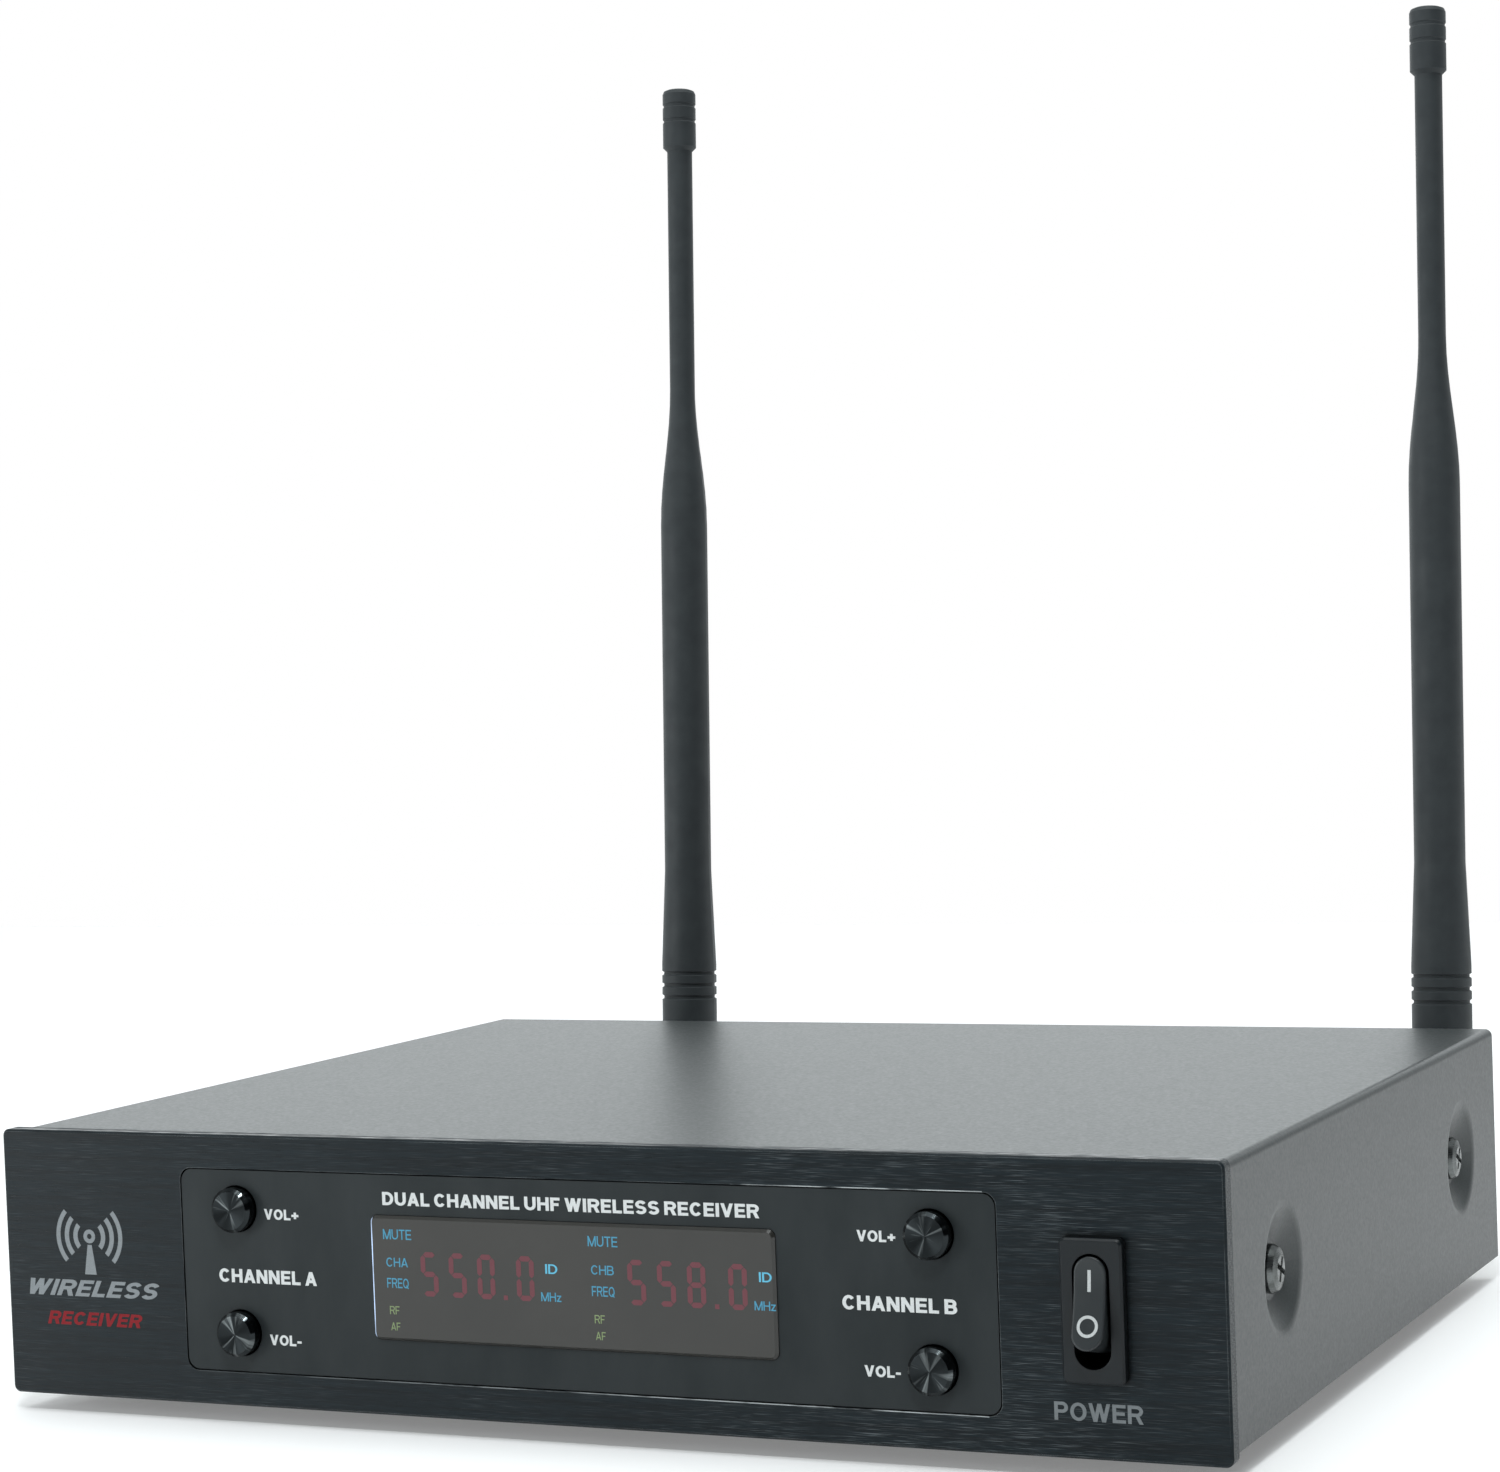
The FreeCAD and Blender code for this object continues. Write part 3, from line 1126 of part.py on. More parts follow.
def antenna_knuckle(channel, x):
    """Plug barrel, captive flange and forked knuckle in one moulding, with its hinge pin."""
    body = new_body(f"antenna_knuckle_{channel}", x, REAR, SOCKETS)
    plug = "BarrelBore - PlugPlay"
    flange_back = "PlugFlangeFront + PlugFlangeThick"
    block_back = "KnuckleFront + KnuckleBlock"
    profile = [("PlugBore", "PlugFront"), (plug, "PlugFront"), (plug, "PlugFlangeFront"),
               ("PlugFlange", "PlugFlangeFront"), ("PlugFlange", flange_back), ("PlugNeck", flange_back),
               ("PlugNeck", "KnuckleFront"), ("KnuckleRadius", "KnuckleFront"), ("KnuckleRadius", block_back),
               ("0", block_back), ("0", "PlugBoreEnd"), ("PlugBore", "PlugBoreEnd")]
    turn_about(body, add_outline(new_sketch(body, "XY_Plane"), profile), "V_Axis")
    ears = add_rectangle(new_sketch(body, "YZ_Plane"), ("KnuckleFront + KnuckleBlock / 2", "HingeBack"),
                         span("0", "KnuckleRadius"))
    pad(body, ears, "2 * KnuckleRadius", both=True)
    ends = add_circle(new_sketch(body, "YZ_Plane"), "KnuckleRadius", "HingeBack")
    pad(body, ends, "2 * KnuckleRadius", both=True)
    gap = add_rectangle(new_sketch(body, "XY_Plane"), span("0", "TongueWidth / 2 + TongueSideGap"),
                        ("HingeBack - TongueRadius - TongueEndGap", "HingeBack + 2 * KnuckleRadius"))
    pocket(body, gap, "4 * KnuckleRadius", both=True)
    bore = add_circle(new_sketch(body, "YZ_Plane"), "HingePin", "HingeBack")
    pocket(body, bore, "4 * KnuckleRadius", both=True)
    pin = rod("hinge_pin", "X", "HingePin", "2 * KnuckleRadius", f"{x} - KnuckleRadius",
              f"{REAR} + HingeBack", SOCKETS)
    keep(f"hinge_pin_{channel}", pin)


def grooves(radius, levels, half, depth):
    """Profile corners of shallow grooves round a rod, lowest first."""
    return [corner for level in levels
            for corner in ((radius, f"{level} - {half}"), (f"{radius} - {depth}", f"{level} - {half} / 2"),
                           (f"{radius} - {depth}", f"{level} + {half} / 2"), (radius, f"{level} + {half}"))]


def antenna_whip(channel, hinge):
    """Moulded whip: hinge tongue, ringed base, thick lower part, long eased taper and thin upper part."""
    body = new_body(f"antenna_whip_{channel}", *hinge)
    bore = "RadiatorRadius + RadiatorPlay"
    levels = [f"RingFirst + {step} * RingPitch" for step in range(RING_COUNT)]
    rings = grooves("WhipBase", levels, "RingHalf", "RingDepth")
    shares = [step / TAPER_STEPS for step in range(TAPER_STEPS + 1)]
    taper = [(f"WhipUpper + (WhipLower - WhipUpper) * (1 + cos({180 * share})) / 2",
              f"TaperStart + TaperLength * {share}") for share in shares]
    profile = [(bore, "RadiatorStart"), ("0", "RadiatorStart"), ("0", "WhipRoot"),
               ("WhipBase - WhipEdge", "WhipRoot"), ("WhipBase", "WhipRoot + WhipEdge"), *rings,
               ("WhipBase", "BaseEnd"), ("WhipLower", "LowerStart"), *taper, ("WhipUpper", CAP_START),
               (bore, CAP_START)]
    turn_about(body, add_outline(front_sketch(body), profile), "V_Axis")
    pad(body, add_circle(new_sketch(body, "YZ_Plane"), "TongueRadius"), "TongueWidth", both=True)
    neck = add_rectangle(new_sketch(body, "YZ_Plane"), span("0", "TongueRadius - WhipEdge"),
                         ("0", "WhipRoot + WhipEdge"))
    pad(body, neck, "TongueWidth", both=True)
    hinge_bore = add_circle(new_sketch(body, "YZ_Plane"), "HingePin + HingePlay")
    pocket(body, hinge_bore, "2 * TongueWidth", both=True)


def antenna_cap(channel, hinge):
    """Thicker grooved cap on the whip's tip."""
    body = new_body(f"antenna_cap_{channel}", *hinge)
    shoulder = "WhipLength - CapRound"
    levels = [f"WhipLength - CapGrooveFirst - {step} * CapGroovePitch" for step in (1, 0)]
    marks = grooves("CapRadius", levels, "CapGrooveHalf", "CapGrooveDepth")
    profile = [("0", CAP_START), ("WhipUpper", CAP_START),
               ("CapRadius", f"{CAP_START} + CapRadius - WhipUpper"),
               *marks, ("CapRadius", shoulder),
               ("CapRadius - CapRound * CapRoundShare", "WhipLength - CapRound * CapRoundShare"),
               ("CapRadius - CapRound", "WhipLength"), ("0", "WhipLength")]
    turn_about(body, add_outline(front_sketch(body), profile), "V_Axis")


def radiator(channel, hinge):
    """Wire inside the whip, from above the tongue to the cap."""
    x, y, z, lean = hinge
    wire = made("Part::Cylinder", "radiator", Radius="RadiatorRadius", Height=f"{CAP_START} - RadiatorStart")
    keep(f"radiator_{channel}", place(wire, x, f"{y} + RadiatorStart * sin(AntennaLean)",
                                      f"{z} + RadiatorStart * cos(AntennaLean)", lean))


def antennas():
    lean = turned((1, 0, 0), -number("AntennaLean"))
    for channel, x in ANTENNAS.items():
        hinge = (x, f"{REAR} + HingeBack", SOCKETS, lean)
        antenna_socket(channel, x)
        bayonet_collar(channel, x)
        antenna_knuckle(channel, x)
        antenna_whip(channel, hinge)
        antenna_cap(channel, hinge)
        radiator(channel, hinge)
    group("socket_nuts", [antenna_nut(x) for x in ANTENNAS.values()])


# ---------------------------------------------------------------- build, check, write

def check_document():
    document.recompute()
    failed = [thing.Label for thing in document.Objects
              if "Invalid" in thing.State or "Error" in thing.State]
    if failed:
        raise RuntimeError(f"failed objects: {failed}")
    for name, thing in sub_parts.items():
        if thing.Shape.isNull() or not thing.Shape.isValid() or not thing.Shape.Solids:
            raise RuntimeError(f"{name} has no valid solid")


def write_parts():
    os.makedirs("parts", exist_ok=True)
    for name, thing in sub_parts.items():
        thing.Shape.exportStep(f"parts/{name}.step")
    print(f"{len(sub_parts)} sub-parts written")


def main():
    for make in (front_panel, control_overlay, display_window, panel_fasteners, volume_buttons, display_board,
                 power_switch, top_cover, cover_screws, bottom_chassis, rubber_feet, main_board, tuner_cans,
                 board_components, wiring, rear_sockets, antennas):
        make()
    check_document()
    write_parts()


main()
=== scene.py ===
import json
import math
import bpy
from mathutils import Matrix, Vector
from mathutils.bvhtree import BVHTree


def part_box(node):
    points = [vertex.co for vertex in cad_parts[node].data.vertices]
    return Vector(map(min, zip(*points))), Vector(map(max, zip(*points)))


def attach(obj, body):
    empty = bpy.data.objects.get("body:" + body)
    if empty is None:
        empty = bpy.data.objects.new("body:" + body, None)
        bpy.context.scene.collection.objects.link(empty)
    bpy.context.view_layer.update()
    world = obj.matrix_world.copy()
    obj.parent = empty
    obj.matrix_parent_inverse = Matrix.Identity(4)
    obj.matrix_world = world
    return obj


# Two-channel wireless receiver: finishes for every sub-part, the printed and lit markings, and a plain
# studio. Finishes and studio are in metres, with millimetre sizes times MM; markings are laid out in
# millimetres, across (X) and up (Z), and add_piece turns them into metres.

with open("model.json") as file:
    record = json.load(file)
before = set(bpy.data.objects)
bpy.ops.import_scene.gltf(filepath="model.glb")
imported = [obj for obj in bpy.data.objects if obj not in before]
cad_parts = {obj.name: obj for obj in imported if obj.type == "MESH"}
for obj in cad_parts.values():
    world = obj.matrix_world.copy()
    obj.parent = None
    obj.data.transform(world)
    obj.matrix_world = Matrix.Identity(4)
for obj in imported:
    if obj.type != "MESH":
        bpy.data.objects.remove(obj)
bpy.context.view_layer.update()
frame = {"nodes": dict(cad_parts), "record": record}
scene = bpy.context.scene
MM = 0.001
SLOTS = {part["node"]: part["material_slot"] for part in frame["record"]["subparts"]}

# ---------------------------------------------------------------- finishes

# Colours, as linear red, green and blue
TONES = {
    # The panel's streak tone brightens scratches that also carry a painted sheen.
    "panel": (0.0052, 0.0112, 0.0150), "panel_streak_sheen": (0.160, 0.184, 0.196),
    # Bare metal serves worn edges and painted edge highlights alike.
    "panel_deep": (0.0025, 0.0055, 0.0075), "bare_metal_and_highlight": (0.36, 0.39, 0.40),
    "overlay": (0.0168, 0.0213, 0.0230), "overlay_faint": (0.0262, 0.0312, 0.0330),
    # The lens glow tone colours a painted highlight in the window's left edge.
    "lens": (0.0245, 0.0240, 0.0216), "lens_faint": (0.0302, 0.0292, 0.0260), "lens_edge_highlight": (0.55, 0.72, 1.0),
    # The button wedge tone is a painted highlight.
    "button": (0.026, 0.030, 0.032), "button_wedge_highlight": (0.22, 0.242, 0.247),
    "switch": (0.0052, 0.0080, 0.0100), "rocker": (0.021, 0.025, 0.027), "shade": (0.001, 0.001, 0.001),
    "cover": (0.022, 0.027, 0.028), "cover_faint": (0.033, 0.039, 0.040),
    "zinc": (0.17, 0.18, 0.18), "zinc_dull": (0.07, 0.074, 0.07), "oxide": (0.030, 0.030, 0.030),
    "rubber": (0.017, 0.022, 0.025), "rubber_dust": (0.030, 0.037, 0.040),
    "nickel": (0.62, 0.60, 0.56), "nickel_dull": (0.42, 0.40, 0.37),
    "dark_nickel": (0.085, 0.085, 0.088), "dark_nickel_dull": (0.060, 0.060, 0.062),
    "gold": (0.75, 0.56, 0.24), "gold_dull": (0.50, 0.38, 0.18),
    "tin": (0.62, 0.58, 0.50), "tin_dull": (0.42, 0.40, 0.36),
    "can": (0.55, 0.55, 0.54), "can_dull": (0.38, 0.39, 0.39), "anodised": (0.020, 0.021, 0.022),
    "mask": (0.012, 0.085, 0.032), "trace": (0.030, 0.150, 0.060),
    "chip": (0.022, 0.022, 0.024), "sleeve": (0.015, 0.025, 0.075), "display": (0.040, 0.022, 0.022),
    "header": (0.68, 0.66, 0.58), "header_stain": (0.56, 0.53, 0.45),
    "ribbon": (0.38, 0.39, 0.41), "ribbon_groove": (0.20, 0.21, 0.22), "lead": (0.018, 0.018, 0.018),
    "floor": (0.83, 0.83, 0.83),
}


def rgba(tone):
    """Full colour of a named tone, or of a colour given as red, green and blue."""
    return (*TONES.get(tone, tone), 1)


def add_node(tree, kind, inputs=(), **settings):
    """New shader node: its settings by name, and each input either linked or set to a constant."""
    node = tree.nodes.new(kind)
    for name, value in settings.items():
        setattr(node, name, value)
    for socket, value in dict(inputs).items():
        if isinstance(value, bpy.types.NodeSocket):
            tree.links.new(value, node.inputs[socket])
        else:
            node.inputs[socket].default_value = value
    return node


MIX_FROM, MIX_TO, MIX_RESULT = 6, 7, 2      # a Mix node's sockets for colours
ALONG_TANGENT = 0.25        # anisotropic rotation that lays the brushing along the tangent


class Finish:
    """A procedural material in the object's own space, built up layer by layer."""

    def __init__(self, name, tone, roughness, settings=()):
        self.material = bpy.data.materials.new(name)
        self.material.use_nodes = True
        self.tree = self.material.node_tree
        self.shader = self.tree.nodes["Principled BSDF"]
        self.shader.inputs["Roughness"].default_value = roughness
        self.shader.inputs["Base Color"].default_value = rgba(tone)
        for socket, value in dict(settings).items():
            self.shader.inputs[socket].default_value = value
        coordinates = self.node("ShaderNodeTexCoord")
        self.place = coordinates.outputs["Object"]
        self.generated = coordinates.outputs["Generated"]

    def node(self, kind, inputs=(), **settings):
        return add_node(self.tree, kind, inputs, **settings)

    def feed(self, output, socket):
        self.tree.links.new(output, self.shader.inputs[socket])

    def source(self, socket):
        """What feeds a socket now: a linked output, or the constant it holds."""
        entry = self.shader.inputs[socket]
        return entry.links[0].from_socket if entry.links else tuple(entry.default_value)

    def scaled(self, size, stretch=(1, 1, 1)):
        """Object coordinates in units of a feature size, stretched along each axis."""
        scale = tuple(1 / (size * along) for along in stretch)
        return self.node("ShaderNodeMapping", {"Vector": self.place, "Scale": scale}).outputs[0]

    def noise(self, size, stretch=(1, 1, 1), detail=2.0):
        return self.node("ShaderNodeTexNoise", {"Vector": self.scaled(size, stretch), "Scale": 1.0,
                                                "Detail": detail}).outputs[0]

    def cells(self, size):
        cells = self.node("ShaderNodeTexVoronoi", {"Vector": self.scaled(size), "Scale": 1.0})
        return cells.outputs["Distance"]

    def spread(self, value, low, high, start=0.3, end=0.7):
        """Stretch a texture's useful range, start to end, over low to high."""
        return self.node("ShaderNodeMapRange", {"Value": value, "From Min": start, "From Max": end,
                                                "To Min": low, "To Max": high}).outputs[0]

    def reckon(self, operation, *values):
        """One arithmetic step on textures or numbers."""
        return self.node("ShaderNodeMath", dict(enumerate(values)), operation=operation).outputs[0]

    def times(self, first, second):
        return self.reckon("MULTIPLY", first, second)

    def vector(self, operation, *values, output="Vector"):
        """One arithmetic step on vectors."""
        return self.node("ShaderNodeVectorMath", dict(enumerate(values)), operation=operation).outputs[output]

    def across(self):
        """Distance along X from the object's middle, in metres."""
        return self.node("ShaderNodeSeparateXYZ", {"Vector": self.place}).outputs["X"]

    def tint(self, mask, tone):
        """Blend the colour towards a tone where the mask is high."""
        mix = self.node("ShaderNodeMix", {"Factor": mask, MIX_FROM: self.source("Base Color"),
                                          MIX_TO: rgba(tone)}, data_type="RGBA")
        self.feed(mix.outputs[MIX_RESULT], "Base Color")
        return self

    def vary(self, value, low, high):
        """Let a texture move the roughness between low and high."""
        self.feed(self.spread(value, low, high), "Roughness")
        return self

    def relief(self, height, depth):
        """Raise or sink the surface by a texture; depth is in metres."""
        bump = self.node("ShaderNodeBump", {"Height": height, "Distance": depth})
        if self.shader.inputs["Normal"].links:
            self.tree.links.new(self.source("Normal"), bump.inputs["Normal"])
        self.feed(bump.outputs[0], "Normal")
        return self

    def soften(self, radius):
        """Shade sharp edges as if they were rounded."""
        self.feed(self.node("ShaderNodeBevel", {"Radius": radius}, samples=4).outputs[0], "Normal")
        return self

    def edges(self, radius, patch):
        """Mask of sharp edges, broken up in patches of a size, for worn edges and for painted edge
        highlights.
        """
        rounded = self.node("ShaderNodeBevel", {"Radius": radius}, samples=4).outputs[0]
        true = self.node("ShaderNodeNewGeometry").outputs["True Normal"]
        aligned = self.vector("DOT_PRODUCT", rounded, true, output="Value")
        edge = self.spread(aligned, 1, 0, start=0.80, end=0.985)
        return self.times(edge, self.spread(self.noise(patch, detail=4.0), 0, 1, start=0.35, end=0.65))

    def crevices(self, reach):
        """Paint shade into corners and gaps narrower than the reach: an ambient-occlusion mask darkens them
        towards the shade tone.
        """
        openness = self.node("ShaderNodeAmbientOcclusion", {"Distance": reach}, samples=6).outputs["AO"]
        return self.tint(self.spread(openness, 1, 0, start=0.40, end=0.90), "shade")

    def brush_round(self, axis):
        """Brush the surface round one of its box's own axes, as a lathe leaves it."""
        self.feed(self.node("ShaderNodeTangent", direction_type="RADIAL", axis=axis).outputs[0], "Tangent")
        return self

    def turned(self, axis, rings, depth):
        """Fine turning marks round the middle of the sub-part's box."""
        centred = self.node("ShaderNodeMapping", {"Vector": self.generated, "Location": (-0.5, -0.5, -0.5)})
        wave = self.node("ShaderNodeTexWave", {"Vector": centred.outputs[0], "Scale": rings,
                                               "Distortion": 0.4, "Detail": 1.0},
                         wave_type="RINGS", rings_direction=axis)
        return self.brush_round(axis).relief(wave.outputs["Fac"], depth)


BRUSHING_SHEEN_MIDDLE = 52 * MM     # how far right of the middle the painted sheen on the panel's brushing is strongest
LENS_EDGE_HIGHLIGHT = 2.4             # strength of the painted highlight that glows in the window's left edge
BUTTON_MIDDLE = (0.5, 0.0, 0.5)     # in shares of the button's box


def brushed_panel():
    """Black anodised aluminium, brushed from side to side, with bright scratches carrying a painted sheen
    that is strongest right of the middle, worn silvery edges strengthened into a painted edge highlight, and
    painted shade in its corners and gaps.
    """
    finish = Finish("panel_brushed", "panel", 0.42, {"Anisotropic": 0.6,
                                                     "Anisotropic Rotation": ALONG_TANGENT,
                                                     "Specular IOR Level": 0.22})
    finish.soften(0.15 * MM).brush_round("Z")
    fine = finish.noise(0.14 * MM, (30, 6, 1), 3.0)
    broad = finish.noise(0.9 * MM, (40, 6, 1))
    # Scratch strength falls off away from a place right of the middle: a painted sheen where the brushing
    # catches the light.
    away = finish.reckon("ABSOLUTE", finish.reckon("SUBTRACT", finish.across(), BRUSHING_SHEEN_MIDDLE))
    uneven = finish.spread(finish.noise(12 * MM, (1.3, 1, 1), 3.0), 0.20, 1, start=0.40, end=0.66)
    patches = finish.times(uneven, finish.spread(away, 1.25, 0.30, start=12 * MM, end=62 * MM))
    scratches = finish.spread(finish.noise(0.075 * MM, (64, 6, 1)), 0, 1, start=0.56, end=0.80)
    finish.tint(finish.spread(finish.times(fine, broad), 1, 0, start=0.16, end=0.34), "panel_deep")
    # Bright scratches, partly real and partly painted sheen; then painted shade in corners and gaps.
    finish.tint(finish.times(scratches, patches), "panel_streak_sheen").crevices(1.0 * MM)
    # Worn silvery edges, strong enough to act as a painted edge highlight too.
    finish.tint(finish.times(finish.edges(0.2 * MM, 7 * MM), 0.55), "bare_metal_and_highlight")
    return finish.vary(fine, 0.26, 0.60).relief(fine, 0.03 * MM)


def bright_edge():
    """Painted highlight on an edge cut after anodising: bare metal broken up, and fading out to the left
    where the light no longer catches it.
    """
    finish = Finish("edge_painted_highlight", "bare_metal_and_highlight", 0.34, {"Metallic": 0.3})
    breaks = finish.noise(0.8 * MM, (8, 1, 1), 3.0)
    finish.tint(finish.spread(breaks, 0, 1, start=0.46, end=0.62), "panel")
    # The painted highlight fades out towards the left.
    finish.tint(finish.spread(finish.across(), 0.95, 0, start=-60 * MM, end=45 * MM), "panel")
    return finish.relief(finish.noise(0.12 * MM), 0.002 * MM)


def printed_overlay():
    """Fine satin film with a faint cloudiness, and painted shade at its seams."""
    finish = Finish("overlay_satin", "overlay", 0.44, {"Specular IOR Level": 0.16})
    finish.soften(0.1 * MM).tint(finish.spread(finish.noise(9 * MM, (1, 1, 2.2), 5.0), 0, 1), "overlay_faint")
    # Painted shade in the seam round the overlay.
    finish.crevices(0.5 * MM).vary(finish.noise(5 * MM, detail=4.0), 0.38, 0.50)
    return finish.relief(finish.noise(0.10 * MM), 0.004 * MM)


def smoked_lens():
    """Polished smoked acrylic; its left edge glows with a painted highlight."""
    finish = Finish("window_smoked", "lens", 0.20, {"Coat Weight": 0.4, "Coat Roughness": 0.06,
                                                    "Specular IOR Level": 0.3,
                                                    "Emission Color": rgba("lens_edge_highlight")})
    finish.soften(0.1 * MM).tint(finish.spread(finish.noise(16 * MM), 0, 1), "lens_faint")
    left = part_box("display_window")[0].x
    # Painted highlight: the window's left edge gives off light, broken into patches.
    glow = finish.spread(finish.across(), LENS_EDGE_HIGHLIGHT, 0, start=left + 0.25 * MM, end=left + 0.45 * MM)
    patches = finish.spread(finish.noise(5 * MM, detail=3.0), 0.35, 1)
    finish.feed(finish.times(glow, patches), "Emission Strength")
    return finish.vary(finish.noise(3 * MM, detail=5.0), 0.16, 0.26)


def spun_button():
    """Black anodised aluminium, turned, with painted highlights in wedge shapes round its middle and painted
    shade in its gap.
    """
    finish = Finish("button_spun", "button", 0.46, {"Metallic": 1.0, "Anisotropic": 0.95,
                                                    "Anisotropic Rotation": ALONG_TANGENT})
    finish.soften(0.08 * MM)
    outward = finish.vector("SUBTRACT", finish.generated, BUTTON_MIDDLE)
    around = finish.vector("NORMALIZE", finish.vector("MULTIPLY", outward, (1, 0, 1)))
    apart = finish.vector("ADD", finish.scaled(25 * MM), around)      # so that no two buttons are alike
    highlight_wedges = finish.node("ShaderNodeTexNoise", {"Vector": apart, "Scale": 2.2, "Detail": 3.0}).outputs[0]
    # Painted highlight: the face is brightened in wedge shapes as if it caught the light.
    finish.tint(finish.spread(highlight_wedges, 0, 1, start=0.54, end=0.72), "button_wedge_highlight")
    normal = finish.node("ShaderNodeNewGeometry").outputs["True Normal"]
    forward = finish.node("ShaderNodeSeparateXYZ", {"Vector": normal}).outputs["Y"]
    face = finish.reckon("ABSOLUTE", forward)
    finish.feed(finish.spread(face, 0.15, 0.46, start=0.90, end=0.99), "Roughness")
    # Painted shade in the gap round the button.
    return finish.crevices(1.2 * MM).turned("Y", 16.0, 0.002 * MM)


def moulded(name, tone, roughness, grain=0.12, depth=0.008, speckle=None, shaded=None, gloss=0.5):
    """Moulded plastic with a fine spark-eroded grain, and painted shade in its corners and gaps when given a
    shaded reach; grain, depth and shaded reach in millimetres.
    """
    finish = Finish(name, tone, roughness, {"Specular IOR Level": gloss})
    finish.soften(0.2 * MM)
    # Painted shade in corners and gaps within the shaded reach.
    if shaded:
        finish.crevices(shaded * MM)
    if speckle:
        finish.tint(finish.times(finish.spread(finish.noise(2.5 * MM, detail=5.0), 0, 1), 0.6), speckle)
    finish.vary(finish.noise(4 * MM, detail=4.0), roughness - 0.06, roughness + 0.06)
    return finish.relief(finish.noise(grain * MM), depth * MM)


def powder_coat(name, roughness=0.40):
    """Satin powder coat: fine orange peel with scattered grains, thin on the folds."""
    finish = Finish(name, "cover", roughness, {"Specular IOR Level": 0.5})
    finish.soften(0.25 * MM).tint(finish.spread(finish.noise(0.35 * MM, detail=3.0), 0, 0.9), "cover_faint")
    finish.tint(finish.times(finish.edges(0.3 * MM, 4 * MM), 0.06), "bare_metal_and_highlight")
    finish.vary(finish.noise(0.6 * MM, detail=3.0), roughness - 0.04, roughness + 0.04)
    return finish.relief(finish.noise(0.45 * MM), 0.010 * MM).relief(finish.cells(0.30 * MM), 0.006 * MM)


def plated(name, tone, worn, roughness, grain=0.4):
    """Plated metal with dull patches and hairline scratches; the grain is in millimetres."""
    finish = Finish(name, tone, roughness, {"Metallic": 1.0})
    finish.soften(0.15 * MM).tint(finish.spread(finish.noise(1.6 * MM, detail=5.0), 0, 0.8), worn)
    hairs = finish.noise(grain * MM, (5, 5, 0.35), 3.0)
    return finish.vary(hairs, roughness - 0.07, roughness + 0.10).relief(hairs, 0.006 * MM)


def soft_rubber(name, roughness=0.62):
    """Matt moulded rubber with a dusty bloom."""
    finish = Finish(name, "rubber", roughness, {"Specular IOR Level": 0.4, "Sheen Weight": 0.12,
                                                "Sheen Roughness": 0.5})
    finish.tint(finish.times(finish.spread(finish.noise(3.5 * MM, detail=6.0), 0, 1), 0.55), "rubber_dust")
    finish.vary(finish.noise(6 * MM, detail=4.0), roughness - 0.06, roughness + 0.08)
    return finish.relief(finish.noise(0.22 * MM, detail=3.0), 0.015 * MM)


def circuit_board():
    """Green solder mask with copper tracks showing through as paler lines."""
    finish = Finish("board_mask", "mask", 0.30, {"Coat Weight": 0.4, "Coat Roughness": 0.15})
    tracks = finish.node("ShaderNodeTexVoronoi", {"Vector": finish.scaled(4 * MM), "Scale": 1.0},
                         distance="CHEBYCHEV", feature="F2").outputs["Distance"]
    lines = finish.spread(finish.reckon("PINGPONG", tracks, 0.11), 0, 1, start=0.05, end=0.06)
    return finish.tint(lines, "trace").relief(lines, 0.03 * MM)


def striped_ribbon():
    """Flat cable: parallel insulated wires side by side along X."""
    finish = Finish("ribbon_wires", "ribbon", 0.42)
    wires = finish.node("ShaderNodeTexWave", {"Vector": finish.scaled(4 * MM), "Scale": 1.0},
                        bands_direction="X").outputs["Fac"]
    finish.tint(finish.spread(wires, 1, 0, start=0, end=0.3), "ribbon_groove")
    return finish.relief(wires, 0.25 * MM)


FINISHES = {
    "panel": brushed_panel(),
    "overlay": printed_overlay(),
    "window": smoked_lens(),
    "button": spun_button(),
    # The switch bezel takes painted shade reaching 6 mm, darkening its walls and the rocker's well.
    "switch": moulded("switch_satin", "switch", 0.36, 0.10, 0.005, shaded=6.0, gloss=0.3),
    "cover": powder_coat("cover_powder"),
    "chassis": powder_coat("chassis_powder", 0.50),
    "screw": plated("screw_zinc", "zinc", "zinc_dull", 0.30),
    "black_screw": plated("screw_oxide", "oxide", "zinc_dull", 0.38),
    "foot": soft_rubber("foot_rubber", 0.70),
    "nickel": plated("nickel_satin", "nickel", "nickel_dull", 0.26),
    "socket_shell": plated("shell_nickel", "dark_nickel", "dark_nickel_dull", 0.34),
    "contact": plated("contact_gold", "gold", "gold_dull", 0.24, 0.2),
    "terminal": plated("terminal_tin", "tin", "tin_dull", 0.32),
    "antenna_rubber": soft_rubber("antenna_rubber"),
    "antenna_plastic": moulded("antenna_satin", "rubber", 0.48, 0.15, 0.010, "rubber_dust"),
    "pin": plated("pin_steel", "can", "can_dull", 0.28),
    "pcb": circuit_board(),
    "chip": moulded("chip_moulded", "chip", 0.50, 0.08, 0.006),
    "capacitor": moulded("capacitor_sleeve", "sleeve", 0.30, 0.60, 0.010),
    "can": plated("can_tinned", "can", "can_dull", 0.30, 0.8),
    "sink": moulded("sink_anodised", "anodised", 0.45, 0.10, 0.008),
    "display": moulded("display_lens", "display", 0.25, 0.30, 0.002),
    "header": moulded("header_moulded", "header", 0.42, 0.12, 0.006, "header_stain"),
    "ribbon": striped_ribbon(),
    "lead": moulded("lead_sleeve", "lead", 0.40, 0.40, 0.010),
    "tact": moulded("tact_moulded", "chip", 0.46, 0.08, 0.006),
}
